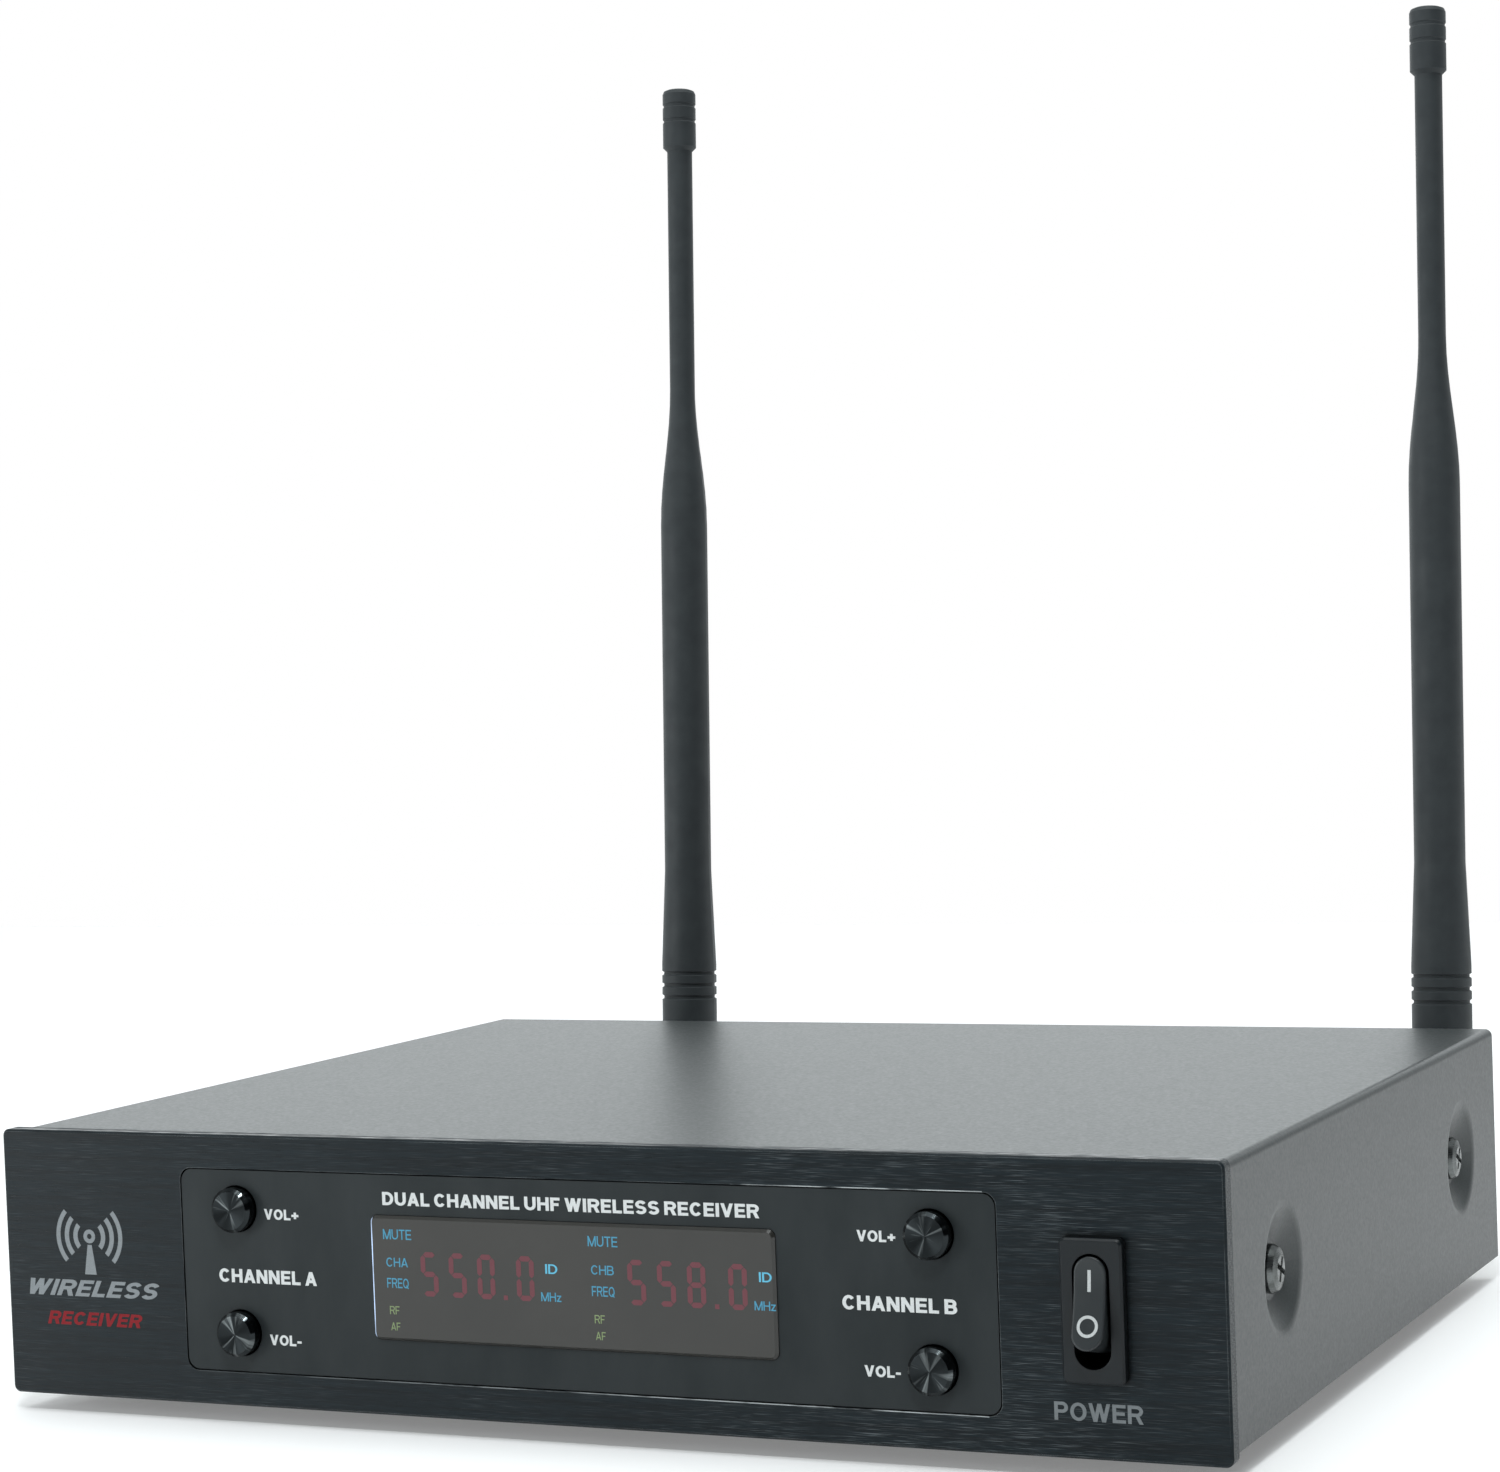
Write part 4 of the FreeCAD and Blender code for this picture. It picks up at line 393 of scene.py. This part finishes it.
# A node that looks unlike the rest of its slot; the rocker takes painted shade within 1.2 mm
NODE_FINISHES = {"power_rocker": moulded("rocker_satin", "rocker", 0.40, 0.10, 0.005, shaded=1.2, gloss=0.4)}
for node, slot in SLOTS.items():
    for entry in frame["nodes"][node].material_slots:
        entry.material = NODE_FINISHES.get(node, FINISHES[slot]).material

# ---------------------------------------------------------------- markings

# Inks: colour, and for lit ones the colour and strength of their light
INKS = {
    "ink_white": ((0.66, 0.68, 0.68), None, 0),
    "ink_grey": ((0.172, 0.190, 0.200), None, 0),
    "ink_silver": ((0.232, 0.254, 0.268), None, 0),
    "ink_red": ((0.22, 0.004, 0.009), None, 0),
    "ink_pale": ((0.50, 0.52, 0.52), None, 0),
    "lit_blue": ((0.03, 0.17, 0.26), (0.06, 0.42, 0.68), 0.27),
    "lit_pale": ((0.06, 0.27, 0.38), (0.12, 0.58, 0.85), 0.36),
    "lit_green": ((0.14, 0.19, 0.08), (0.34, 0.48, 0.22), 0.18),
    "lit_digit": ((0.084, 0.016, 0.024), (0.50, 0.08, 0.12), 0.088),
}
PRINT_ROUGHNESS, LIT_ROUGHNESS = 0.42, 0.16
THIN_INK = 0.82              # brightness of an ink where its cover is thin


def ink(name, color, glow, strength):
    """Printed or lit marking: slightly uneven cover, with the gloss of what it lies on."""
    settings = {"Specular IOR Level": 0.2}
    if glow:
        settings |= {"Emission Color": rgba(glow), "Emission Strength": strength,
                     "Coat Weight": 0.6, "Coat Roughness": 0.04}
    finish = Finish(name, color, LIT_ROUGHNESS if glow else PRINT_ROUGHNESS, settings)
    thin = tuple(THIN_INK * channel for channel in color)
    finish.tint(finish.spread(finish.noise(0.20 * MM, detail=3.0), 0, 1, start=0.4, end=0.8), thin)
    return finish.relief(finish.noise(0.12 * MM), 0.002 * MM).material


INK = {name: ink(name, *entry) for name, entry in INKS.items()}
PRINT_LIFT = 0.02            # millimetres that a marking stands off its surface
PRINT_THICK = 0.02
LAYER_STEP = 0.002           # between the crossing strokes of a letter

FRONT = {node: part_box(node)[0].y / MM for node in ("front_panel", "control_overlay", "display_window")}
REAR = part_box("bottom_chassis")[1].y / MM


def add_piece(name, corners, faces, material, body="case"):
    """Mesh piece from corners in millimetres."""
    mesh = bpy.data.meshes.new(name)
    mesh.from_pydata([Vector(corner) * MM for corner in corners], [], faces)
    mesh.materials.append(material)
    piece = bpy.data.objects.new(name, mesh)
    scene.collection.objects.link(piece)
    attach(piece, body)


def rectangle(left, right, low, high):
    """Ring of corners, starting at the lower left."""
    return [(left, low), (right, low), (right, high), (left, high)]


def thick_tiles(tiles, lifts=None):
    """Corners (across, up, depth) and faces of flat tiles made solid, each a ring of (across, up) points.

    A lift brings a tile's front face that much nearer to the eye.
    """
    corners, faces = [], []
    for ring, lift in zip(tiles, lifts or [0.0] * len(tiles)):
        first, count = len(corners), len(ring)
        corners += [(across, up, -lift) for across, up in ring]
        corners += [(across, up, PRINT_THICK) for across, up in ring]
        faces.append([first + step for step in range(count)])
        faces.append([first + count + step for step in reversed(range(count))])
        faces += [[first + step, first + count + step, first + count + (step + 1) % count,
                   first + (step + 1) % count] for step in range(count)]
    return corners, faces


ARC_STEP = 15                # degrees between the points of a round stroke


def arc(x, z, half_width, half_height, start, end):
    """Points along part of an ellipse, between two angles in degrees."""
    steps = max(4, round(abs(end - start) / ARC_STEP))
    angles = [math.radians(start + (end - start) * step / steps) for step in range(steps + 1)]
    return [(x + half_width * math.cos(angle), z + half_height * math.sin(angle)) for angle in angles]


# Letters of a plain bold alphabet. Each has a width in capital heights and its strokes' middle lines, in
# shares of the width and height: straight strokes are (start, end), round ones are longer runs of points.
STEM, FAR_STEM = ((0, 0), (0, 1)), ((1, 0), (1, 1))
HEAD, WAIST, BASE = ((0, 1), (1, 1)), ((0, 0.51), (1, 0.51)), ((0, 0), (1, 0))
UPPER_BOWL = [(0, 1), *arc(0.60, 0.74, 0.40, 0.26, 90, -90), (0, 0.48)]
RING = arc(0.5, 0.5, 0.5, 0.5, 0, 360)
LETTERS = {
    "A": (0.78, ((0, 0), (0.5, 1)), ((1, 0), (0.5, 1)), ((0.2, 0.25), (0.8, 0.25))),
    "B": (0.72, STEM, [(0, 1), *arc(0.60, 0.76, 0.33, 0.24, 90, -90), (0, 0.52)],
          [(0, 0.52), *arc(0.62, 0.26, 0.38, 0.26, 90, -90), (0, 0)]),
    "C": (0.76, arc(0.5, 0.5, 0.5, 0.5, 38, 322)),
    "D": (0.74, STEM, [(0, 1), *arc(0.42, 0.5, 0.58, 0.5, 90, -90), (0, 0)]),
    "E": (0.64, STEM, HEAD, ((0, 0.51), (0.93, 0.51)), BASE),
    "F": (0.60, STEM, HEAD, ((0, 0.48), (0.88, 0.48))),
    "H": (0.74, STEM, FAR_STEM, WAIST),
    "I": (0.0, STEM),
    "L": (0.58, STEM, BASE),
    "M": (0.90, STEM, FAR_STEM, ((0, 1), (0.5, 0)), ((1, 1), (0.5, 0))),
    "N": (0.74, STEM, FAR_STEM, ((0, 1), (1, 0))),
    "O": (0.80, RING),
    "P": (0.68, STEM, UPPER_BOWL),
    "Q": (0.80, RING, ((0.60, 0.30), (1, -0.04))),
    "R": (0.74, STEM, UPPER_BOWL, ((0.62, 0.48), (1, 0))),
    "S": (0.70, arc(0.5, 0.75, 0.48, 0.25, 20, 270) + arc(0.5, 0.25, 0.5, 0.25, 90, -158)[1:]),
    "T": (0.68, HEAD, ((0.5, 0), (0.5, 1))),
    "U": (0.74, ((0, 0.36), (0, 1)), ((1, 0.36), (1, 1)), arc(0.5, 0.36, 0.5, 0.36, 180, 360)),
    "V": (0.76, ((0, 1), (0.5, 0)), ((1, 1), (0.5, 0))),
    "W": (1.06, ((0, 1), (0.26, 0)), ((0.5, 1), (0.26, 0)), ((0.5, 1), (0.74, 0)), ((1, 1), (0.74, 0))),
    "X": (0.76, ((0, 0), (1, 1)), ((0, 1), (1, 0))),
    "z": (0.52, ((0, 0.66), (1, 0.66)), ((0, 0.06), (1, 0.66)), BASE),
    "+": (0.62, ((0, 0.42), (1, 0.42)), ((0.5, 0.14), (0.5, 0.75))),
    "-": (0.38, ((0, 0.36), (1, 0.36))),
    " ": (0.12,),
}
LETTER_GAP = 0.10            # in capital heights


def stroke_tiles(points, left, width, stroke):
    """Tiles of one stroke: straight ones are cut level or upright, round ones square to their run."""
    half = stroke / 2
    inset = [Vector((left + half + x * (width - stroke), half + z * (1 - stroke))) for x, z in points]
    if len(points) > 2:
        neighbours = zip([inset[0]] + inset, inset[1:] + [inset[-1]])
        runs = [(after - before).normalized() for before, after in neighbours]
        closed = (inset[0] - inset[-1]).length < half
        if closed:
            runs[0] = runs[-1] = (runs[0] + runs[-1]).normalized()
        asides = [Vector((-run.y, run.x)) * half for run in runs]
    else:
        steep = abs(points[1][1] - points[0][1]) > 0.5 * abs(points[1][0] - points[0][0])
        inset = [Vector((place.x, z) if steep else (left + x * width, place.y))
                 for place, (x, z) in zip(inset, points)]
        run = (inset[1] - inset[0]).normalized()
        asides = [Vector((half / abs(run.y), 0)) if steep else Vector((0, half / abs(run.x)))] * 2
    return [[first - first_aside, second - second_aside, second + second_aside, first + first_aside]
            for first, second, first_aside, second_aside in zip(inset, inset[1:], asides, asides[1:])]


def letter_shape(text, stroke, slant):
    """Solid lettering that fills 0 to 1 across and up; crossing strokes lie a hair apart."""
    tiles, lifts, place = [], [], 0.0
    for letter in text:
        width, *strokes = LETTERS[letter]
        width = max(width, stroke) if strokes else width
        for layer, points in enumerate(strokes):
            made = stroke_tiles(points, place, width, stroke)
            tiles += made
            lifts += [layer * LAYER_STEP] * len(made)
        place += width + LETTER_GAP
    full = place - LETTER_GAP + slant
    tiles = [[((x + slant * z) / full, z) for x, z in ring] for ring in tiles]
    return thick_tiles(tiles, lifts)


def lay_front(corners, node):
    """Corners (across, up, depth) laid on a front surface of the case."""
    return [(across, FRONT[node] - PRINT_LIFT + depth, up) for across, up, depth in corners]


def fill_box(corners, box):
    """Corners that fill 0 to 1 across and up, stretched over a box of left, right, low, high."""
    left, right, low, high = box
    return [(left + across * (right - left), low + up * (high - low), depth) for across, up, depth in corners]


def letter_front(name, text, node, ink_name, box, stroke, slant=0):
    """Lettering on a front surface, filling a box of left, right, low, high."""
    corners, faces = letter_shape(text, stroke, slant)
    add_piece(name, lay_front(fill_box(corners, box), node), faces, INK[ink_name])


def letter_rear(name, text, middle, low):
    """Lettering on the rear wall, read from behind, centred on a place across."""
    corners, faces = letter_shape(text, REAR_STROKE, 0)
    half = REAR_LETTER_WIDTH * REAR_CAPITALS * len(text) / 2
    filled = fill_box(corners, (middle + half, middle - half, low, low + REAR_CAPITALS))
    laid = [(across, REAR + PRINT_LIFT - depth, up) for across, up, depth in filled]
    add_piece(name, laid, faces, INK["ink_white"])


# Strokes in capital heights
BOLD, MEDIUM, LIGHT, FINE = 0.21, 0.18, 0.15, 0.13
REAR_STROKE = 0.16
REAR_CAPITALS = 2.0          # height in millimetres
REAR_LETTER_WIDTH = 0.62     # room for a letter, in capital heights
# Lettering on the panel: name, text, ink, (left, right, low, high), stroke, slant
PANEL_LETTERING = (
    ("power_label", "POWER", "ink_grey", (78.5, 92.0, 8.6, 11.3), MEDIUM, 0),
    ("emblem_word", "WIRELESS", "ink_silver", (-102.0, -75.0, 19.6, 22.3), BOLD, 0.30),
    ("emblem_line", "RECEIVER", "ink_red", (-97.7, -78.8, 14.8, 17.0), BOLD, 0.22),
)
# White lettering on the overlay: name, text, (left, right, low, high)
OVERLAY_LETTERING = (
    ("title", "DUAL CHANNEL UHF WIRELESS RECEIVER", (-32.8, 32.5, 36.5, 38.6)),
    ("volume_up_label_a", "VOL+", (-54.8, -48.4, 33.5, 35.2)),
    ("volume_down_label_a", "VOL-", (-54.7, -48.8, 13.2, 14.9)),
    ("volume_up_label_b", "VOL+", (48.3, 54.5, 33.6, 35.3)),
    ("volume_down_label_b", "VOL-", (48.8, 54.6, 13.4, 15.1)),
    ("channel_label_a", "CHANNEL A", (-63.8, -45.5, 23.1, 25.3)),
    ("channel_label_b", "CHANNEL B", (45.6, 63.9, 23.3, 25.5)),
)
# Legends of one display half, placed for channel A: name, text, ink, (left, right, low, high), stroke
DISPLAY_LEGENDS = (
    ("mute", "MUTE", "lit_blue", (-32.6, -27.5, 31.2, 32.8), FINE),
    ("channel", "CH{}", "lit_blue", (-32.2, -28.3, 26.85, 28.3), FINE),
    ("frequency", "FREQ", "lit_blue", (-32.2, -28.3, 23.5, 25.05), FINE),
    ("identity", "ID", "lit_pale", (-3.9, -1.8, 26.8, 28.3), LIGHT),
    ("megahertz", "MHz", "lit_blue", (-4.8, -1.3, 22.5, 23.9), FINE),
    ("radio_level", "RF", "lit_green", (-31.9, -30.15, 19.3, 20.6), FINE),
    ("audio_level", "AF", "lit_green", (-31.8, -30.1, 16.75, 18.0), FINE),
)
DISPLAY_STEP = (36.25, 0.15)     # across and up, from channel A's half of the display to channel B's


def display_shift(half):
    """How far across and up a half of the display lies from the first one."""
    return tuple(half * shift for shift in DISPLAY_STEP)


for name, text, box in OVERLAY_LETTERING:
    letter_front(name, text, "control_overlay", "ink_white", box, BOLD)
for name, text, ink_name, box, stroke, slant in PANEL_LETTERING:
    letter_front(name, text, "front_panel", ink_name, box, stroke, slant)
for half, channel in enumerate("ab"):
    across, up = display_shift(half)
    for name, text, ink_name, (left, right, low, high), stroke in DISPLAY_LEGENDS:
        letter_front(f"{name}_legend_{channel}", text.format(channel.upper()), "display_window", ink_name,
                     (left + across, right + across, low + up, high + up), stroke)

# Seven-segment digits: bars a to g, each between two corners of a 1 x 2 grid
SEGMENT_ENDS = {"a": ((0, 2), (1, 2)), "b": ((1, 1), (1, 2)), "c": ((1, 0), (1, 1)), "d": ((0, 0), (1, 0)),
                "e": ((0, 0), (0, 1)), "f": ((0, 1), (0, 2)), "g": ((0, 1), (1, 1))}
DIGIT_SEGMENTS = {"0": "abcdef", "5": "acdfg", "8": "abcdefg"}
DIGIT_WIDTH, DIGIT_HEIGHT = 3.1, 7.0
SEGMENT_HALF, SEGMENT_GAP = 0.42, 0.08      # half a bar's width; from its tip to the grid's corner
DIGIT_LOW = 22.4
DIGIT_LEFTS = (-26.0, -20.95, -15.9, -9.0)
POINT_MIDDLE, POINT_SIDE = -11.0, 0.72      # the decimal point, a square
READINGS = {"a": "5500", "b": "5580"}       # the last digit stands behind the decimal point


def segment_tile(segment, left, low):
    """Six-cornered bar with pointed ends."""
    inner_width, inner_height = DIGIT_WIDTH - 2 * SEGMENT_HALF, DIGIT_HEIGHT - 2 * SEGMENT_HALF
    ends = [Vector((left + SEGMENT_HALF + across * inner_width, low + SEGMENT_HALF + up * inner_height / 2))
            for across, up in SEGMENT_ENDS[segment]]
    along = (ends[1] - ends[0]).normalized()
    aside = Vector((-along.y, along.x)) * SEGMENT_HALF
    start, end = ends[0] + along * SEGMENT_GAP, ends[1] - along * SEGMENT_GAP
    shoulder = along * SEGMENT_HALF
    return [start, start + shoulder - aside, end - shoulder - aside, end, end - shoulder + aside,
            start + shoulder + aside]


for half, (channel, reading) in enumerate(READINGS.items()):
    across, up = display_shift(half)
    low = DIGIT_LOW + up
    tiles = [segment_tile(segment, left + across, low)
             for left, digit in zip(DIGIT_LEFTS, reading) for segment in DIGIT_SEGMENTS[digit]]
    point_left = POINT_MIDDLE + across - POINT_SIDE / 2
    tiles.append(rectangle(point_left, point_left + POINT_SIDE, low, low + POINT_SIDE))
    corners, faces = thick_tiles(tiles)
    add_piece(f"frequency_digits_{channel}", lay_front(corners, "display_window"), faces, INK["lit_digit"])


def arc_tiles(centre, inner, outer, start, end, steps):
    """Part of a ring between two radii and two angles in degrees, as one tile per step."""
    angles = [math.radians(start + (end - start) * step / steps) for step in range(steps + 1)]
    rays = [Vector((math.cos(angle), math.sin(angle))) for angle in angles]
    middle = Vector(centre)
    return [[middle + first * inner, middle + first * outer, middle + second * outer, middle + second * inner]
            for first, second in zip(rays, rays[1:])]


# Emblem: a mast under a ring, with radio waves to both sides
EMBLEM_CENTRE = (-88.7, 29.6)
EMBLEM_RING = (0.45, 1.15)       # inner and outer radius
RING_STEPS = 24
EMBLEM_WAVES = ((2.3, 3.15), (4.0, 4.85), (5.7, 6.5))
WAVE_SPREAD, WAVE_STEPS = 42, 14     # degrees to each side of level
MAST_HALF, MAST_DROP = 0.40, 1.4     # at its top, that far below the ring's middle
MAST_FOOT_HALF, MAST_FOOT = 1.15, 23.3
tiles = arc_tiles(EMBLEM_CENTRE, *EMBLEM_RING, 0, 360, RING_STEPS)
for inner, outer in EMBLEM_WAVES:
    for side in (0, 180):
        tiles += arc_tiles(EMBLEM_CENTRE, inner, outer, side - WAVE_SPREAD, side + WAVE_SPREAD, WAVE_STEPS)
mast, ring_height = EMBLEM_CENTRE
mast_top = ring_height - MAST_DROP
tiles.append([(mast - MAST_FOOT_HALF, MAST_FOOT), (mast + MAST_FOOT_HALF, MAST_FOOT),
              (mast + MAST_HALF, mast_top), (mast - MAST_HALF, mast_top)])
corners, faces = thick_tiles(tiles)
add_piece("emblem_waves", lay_front(corners, "front_panel"), faces, INK["ink_silver"])

# Painted highlight on the cut edge of the overlay's pocket, where it catches the light: all along below it,
# and at its upper right
POCKET_GAP = 0.2             # between the overlay and its pocket
POCKET_CORNER = 2.1          # from the pocket's side to where its edge runs straight
HIGHLIGHT_WIDTH = 0.16
UPPER_HIGHLIGHT_START = 28.0
overlay_low, overlay_high = (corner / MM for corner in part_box("control_overlay"))
edge_reach = overlay_high.x + POCKET_GAP - POCKET_CORNER
highlight_material = bright_edge().material
for name, left, low in (("pocket_highlight_low", -edge_reach, overlay_low.z - POCKET_GAP - HIGHLIGHT_WIDTH),
                        ("pocket_highlight_high", UPPER_HIGHLIGHT_START, overlay_high.z + POCKET_GAP)):
    corners, faces = thick_tiles([rectangle(left, edge_reach, low, low + HIGHLIGHT_WIDTH)])
    add_piece(name, lay_front(corners, "front_panel"), faces, highlight_material)

# Marks moulded on the rocker's hollow face, a bar above its pivot and a ring below, laid on the face from
# straight in front of it
ROCKER_TILT = 13.0           # degrees that the rocker leans at rest
ROCKER_CLEAR = 20            # millimetres in front of the pivot, well clear of the face
ON_PLACE, OFF_PLACE = 3.27, -3.24        # from the pivot, along the rocker
ON_HALF_WIDTH, ON_HALF_HEIGHT, ON_TILES = 0.25, 1.55, 8
OFF_INNER, OFF_OUTER, OFF_TILES = 1.15, 1.60, 40
rocker_tree = BVHTree.FromObject(frame["nodes"]["power_rocker"], bpy.context.evaluated_depsgraph_get())
pivot_low, pivot_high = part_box("rocker_pivot")
pivot = (pivot_low + pivot_high) / 2


def lay_on_rocker(corners):
    """Corners given across and along the rocker, moved onto its face; millimetres."""
    tilt = Matrix.Rotation(-math.radians(ROCKER_TILT), 3, "X")
    inward = tilt @ Vector((0, 1, 0))
    laid = []
    for across, up, depth in corners:
        start = pivot + tilt @ (Vector((across, -ROCKER_CLEAR, up)) * MM)
        surface = rocker_tree.ray_cast(start, inward)[0]
        laid.append((surface + inward * (depth - PRINT_LIFT) * MM) / MM)
    return laid


on_steps = [ON_PLACE + ON_HALF_HEIGHT * (2 * step / ON_TILES - 1) for step in range(ON_TILES + 1)]
on_tiles = [rectangle(-ON_HALF_WIDTH, ON_HALF_WIDTH, low, high)
            for low, high in zip(on_steps, on_steps[1:])]
off_tiles = arc_tiles((0, OFF_PLACE), OFF_INNER, OFF_OUTER, 0, 360, OFF_TILES)
for name, tiles in (("mark_on", on_tiles), ("mark_off", off_tiles)):
    corners, faces = thick_tiles(tiles)
    add_piece(name, lay_on_rocker(corners), faces, INK["ink_pale"], "rocker")

# Lettering beside the rear sockets: node, text, and the height of its lower edge
LABEL_GAP = 1.6              # above the balanced outputs
UNDER_SOCKETS = 9.0
over_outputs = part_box("balanced_output_a")[1].z / MM + LABEL_GAP
for node, text, low in (("antenna_socket_a", "ANTENNA A", UNDER_SOCKETS),
                        ("antenna_socket_b", "ANTENNA B", UNDER_SOCKETS),
                        ("output_jack", "MIX OUT", UNDER_SOCKETS),
                        ("power_inlet", "DC IN", UNDER_SOCKETS),
                        ("balanced_output_a", "OUTPUT A", over_outputs),
                        ("balanced_output_b", "OUTPUT B", over_outputs)):
    left, right = (corner.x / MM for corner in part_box(node))
    letter_rear(f"{node}_label", text, (left + right) / 2, low)

# ---------------------------------------------------------------- studio

# Camera at the photograph's angle: found from the corners of the panel, overlay, window and case
CAMERA_PLACE = Vector((0.25418, -0.58521, 0.12160))
CAMERA_AZIMUTH = math.radians(24.557)
CAMERA_ELEVATION = math.radians(2.393)
CAMERA_ROLL = math.radians(-2.145)
FOCAL_SHARE = 2.37129        # focal length over the width of the picture
SENSOR = 36.0                # millimetres
SHIFT_Y = 0.0427

camera = bpy.data.objects.new("camera", bpy.data.cameras.new("camera"))
scene.collection.objects.link(camera)
scene.camera = camera
camera.data.sensor_width = SENSOR
camera.data.lens = SENSOR * FOCAL_SHARE
camera.data.shift_y = SHIFT_Y
forward = Vector((-math.sin(CAMERA_AZIMUTH) * math.cos(CAMERA_ELEVATION),
                  math.cos(CAMERA_AZIMUTH) * math.cos(CAMERA_ELEVATION), -math.sin(CAMERA_ELEVATION)))
level = forward.to_track_quat("-Z", "Y").to_matrix().to_4x4()
camera.matrix_world = Matrix.Translation(CAMERA_PLACE) @ level @ Matrix.Rotation(CAMERA_ROLL, 4, "Z")

# Softboxes: place, width and height in metres, and watts
SOFTBOXES = {
    "back": ((-0.95, 2.0, 0.60), 3.0, 0.9, 9.5),
    "top": ((0.1, 0.1, 1.6), 1.6, 1.6, 21.0),
    "front_top": ((0.25, -0.75, 1.1), 0.20, 0.16, 6.0),
    "front_left": ((-1.15, -1.05, 0.3), 0.4, 0.7, 8.2),
}
AIM = Vector((0.0, 0.0, 0.04))
COOL_WHITE = (0.955, 1.0, 1.01)
for name, (place, width, height, power) in SOFTBOXES.items():
    light = bpy.data.lights.new(f"softbox_{name}", "AREA")
    light.shape = "RECTANGLE"
    light.size, light.size_y, light.energy = width, height, power
    light.color = COOL_WHITE
    softbox = bpy.data.objects.new(light.name, light)
    scene.collection.objects.link(softbox)
    softbox.visible_camera = False
    softbox.location = place
    softbox.rotation_euler = (AIM - Vector(place)).to_track_quat("-Z", "Y").to_euler()

# Surroundings: white to the eye; as light, pale behind and to the left of the object, dimmer in front
BRIGHT_SIDE = Vector((-0.65, 0.76, 0.0))
DIM_FROM, PALE_FROM = -0.78, 0.7     # how far a direction faces the bright side
DIM, PALE, WHITE = (0.05, 0.056, 0.060), (0.66, 0.70, 0.71), (1, 1, 1)
world = bpy.data.worlds.new("studio")
scene.world = world
world.use_nodes = True
sky = world.node_tree
toward = add_node(sky, "ShaderNodeTexCoord").outputs["Generated"]
facing = add_node(sky, "ShaderNodeVectorMath", {0: toward, 1: BRIGHT_SIDE}, operation="DOT_PRODUCT")
share = add_node(sky, "ShaderNodeMapRange", {"Value": facing.outputs["Value"], "From Min": DIM_FROM,
                                             "From Max": PALE_FROM})
ambient = add_node(sky, "ShaderNodeMix", {"Factor": share.outputs[0], MIX_FROM: rgba(DIM),
                                          MIX_TO: rgba(PALE)}, data_type="RGBA")
seen = add_node(sky, "ShaderNodeLightPath").outputs["Is Camera Ray"]
shown = add_node(sky, "ShaderNodeMix", {"Factor": seen, MIX_FROM: ambient.outputs[MIX_RESULT],
                                        MIX_TO: rgba(WHITE)}, data_type="RGBA")
sky.links.new(shown.outputs[MIX_RESULT], sky.nodes["Background"].inputs["Color"])

# Floor: pale paper that gives off a little light, so that it meets the white surroundings without an edge
FLOOR_HALF = 0.85
FLOOR_ROUGHNESS, FLOOR_LIGHT = 0.8, 0.20
floor_mesh = bpy.data.meshes.new("floor")
floor_corners = rectangle(-FLOOR_HALF, FLOOR_HALF, -FLOOR_HALF, FLOOR_HALF)
floor_mesh.from_pydata([(x, y, 0) for x, y in floor_corners], [], [(0, 1, 2, 3)])
floor = bpy.data.objects.new("floor", floor_mesh)
scene.collection.objects.link(floor)
floor_glow = {"Emission Color": rgba(WHITE), "Emission Strength": FLOOR_LIGHT}
floor_mesh.materials.append(Finish("floor_paper", "floor", FLOOR_ROUGHNESS, floor_glow).material)
scene.view_settings.view_transform = "Standard"
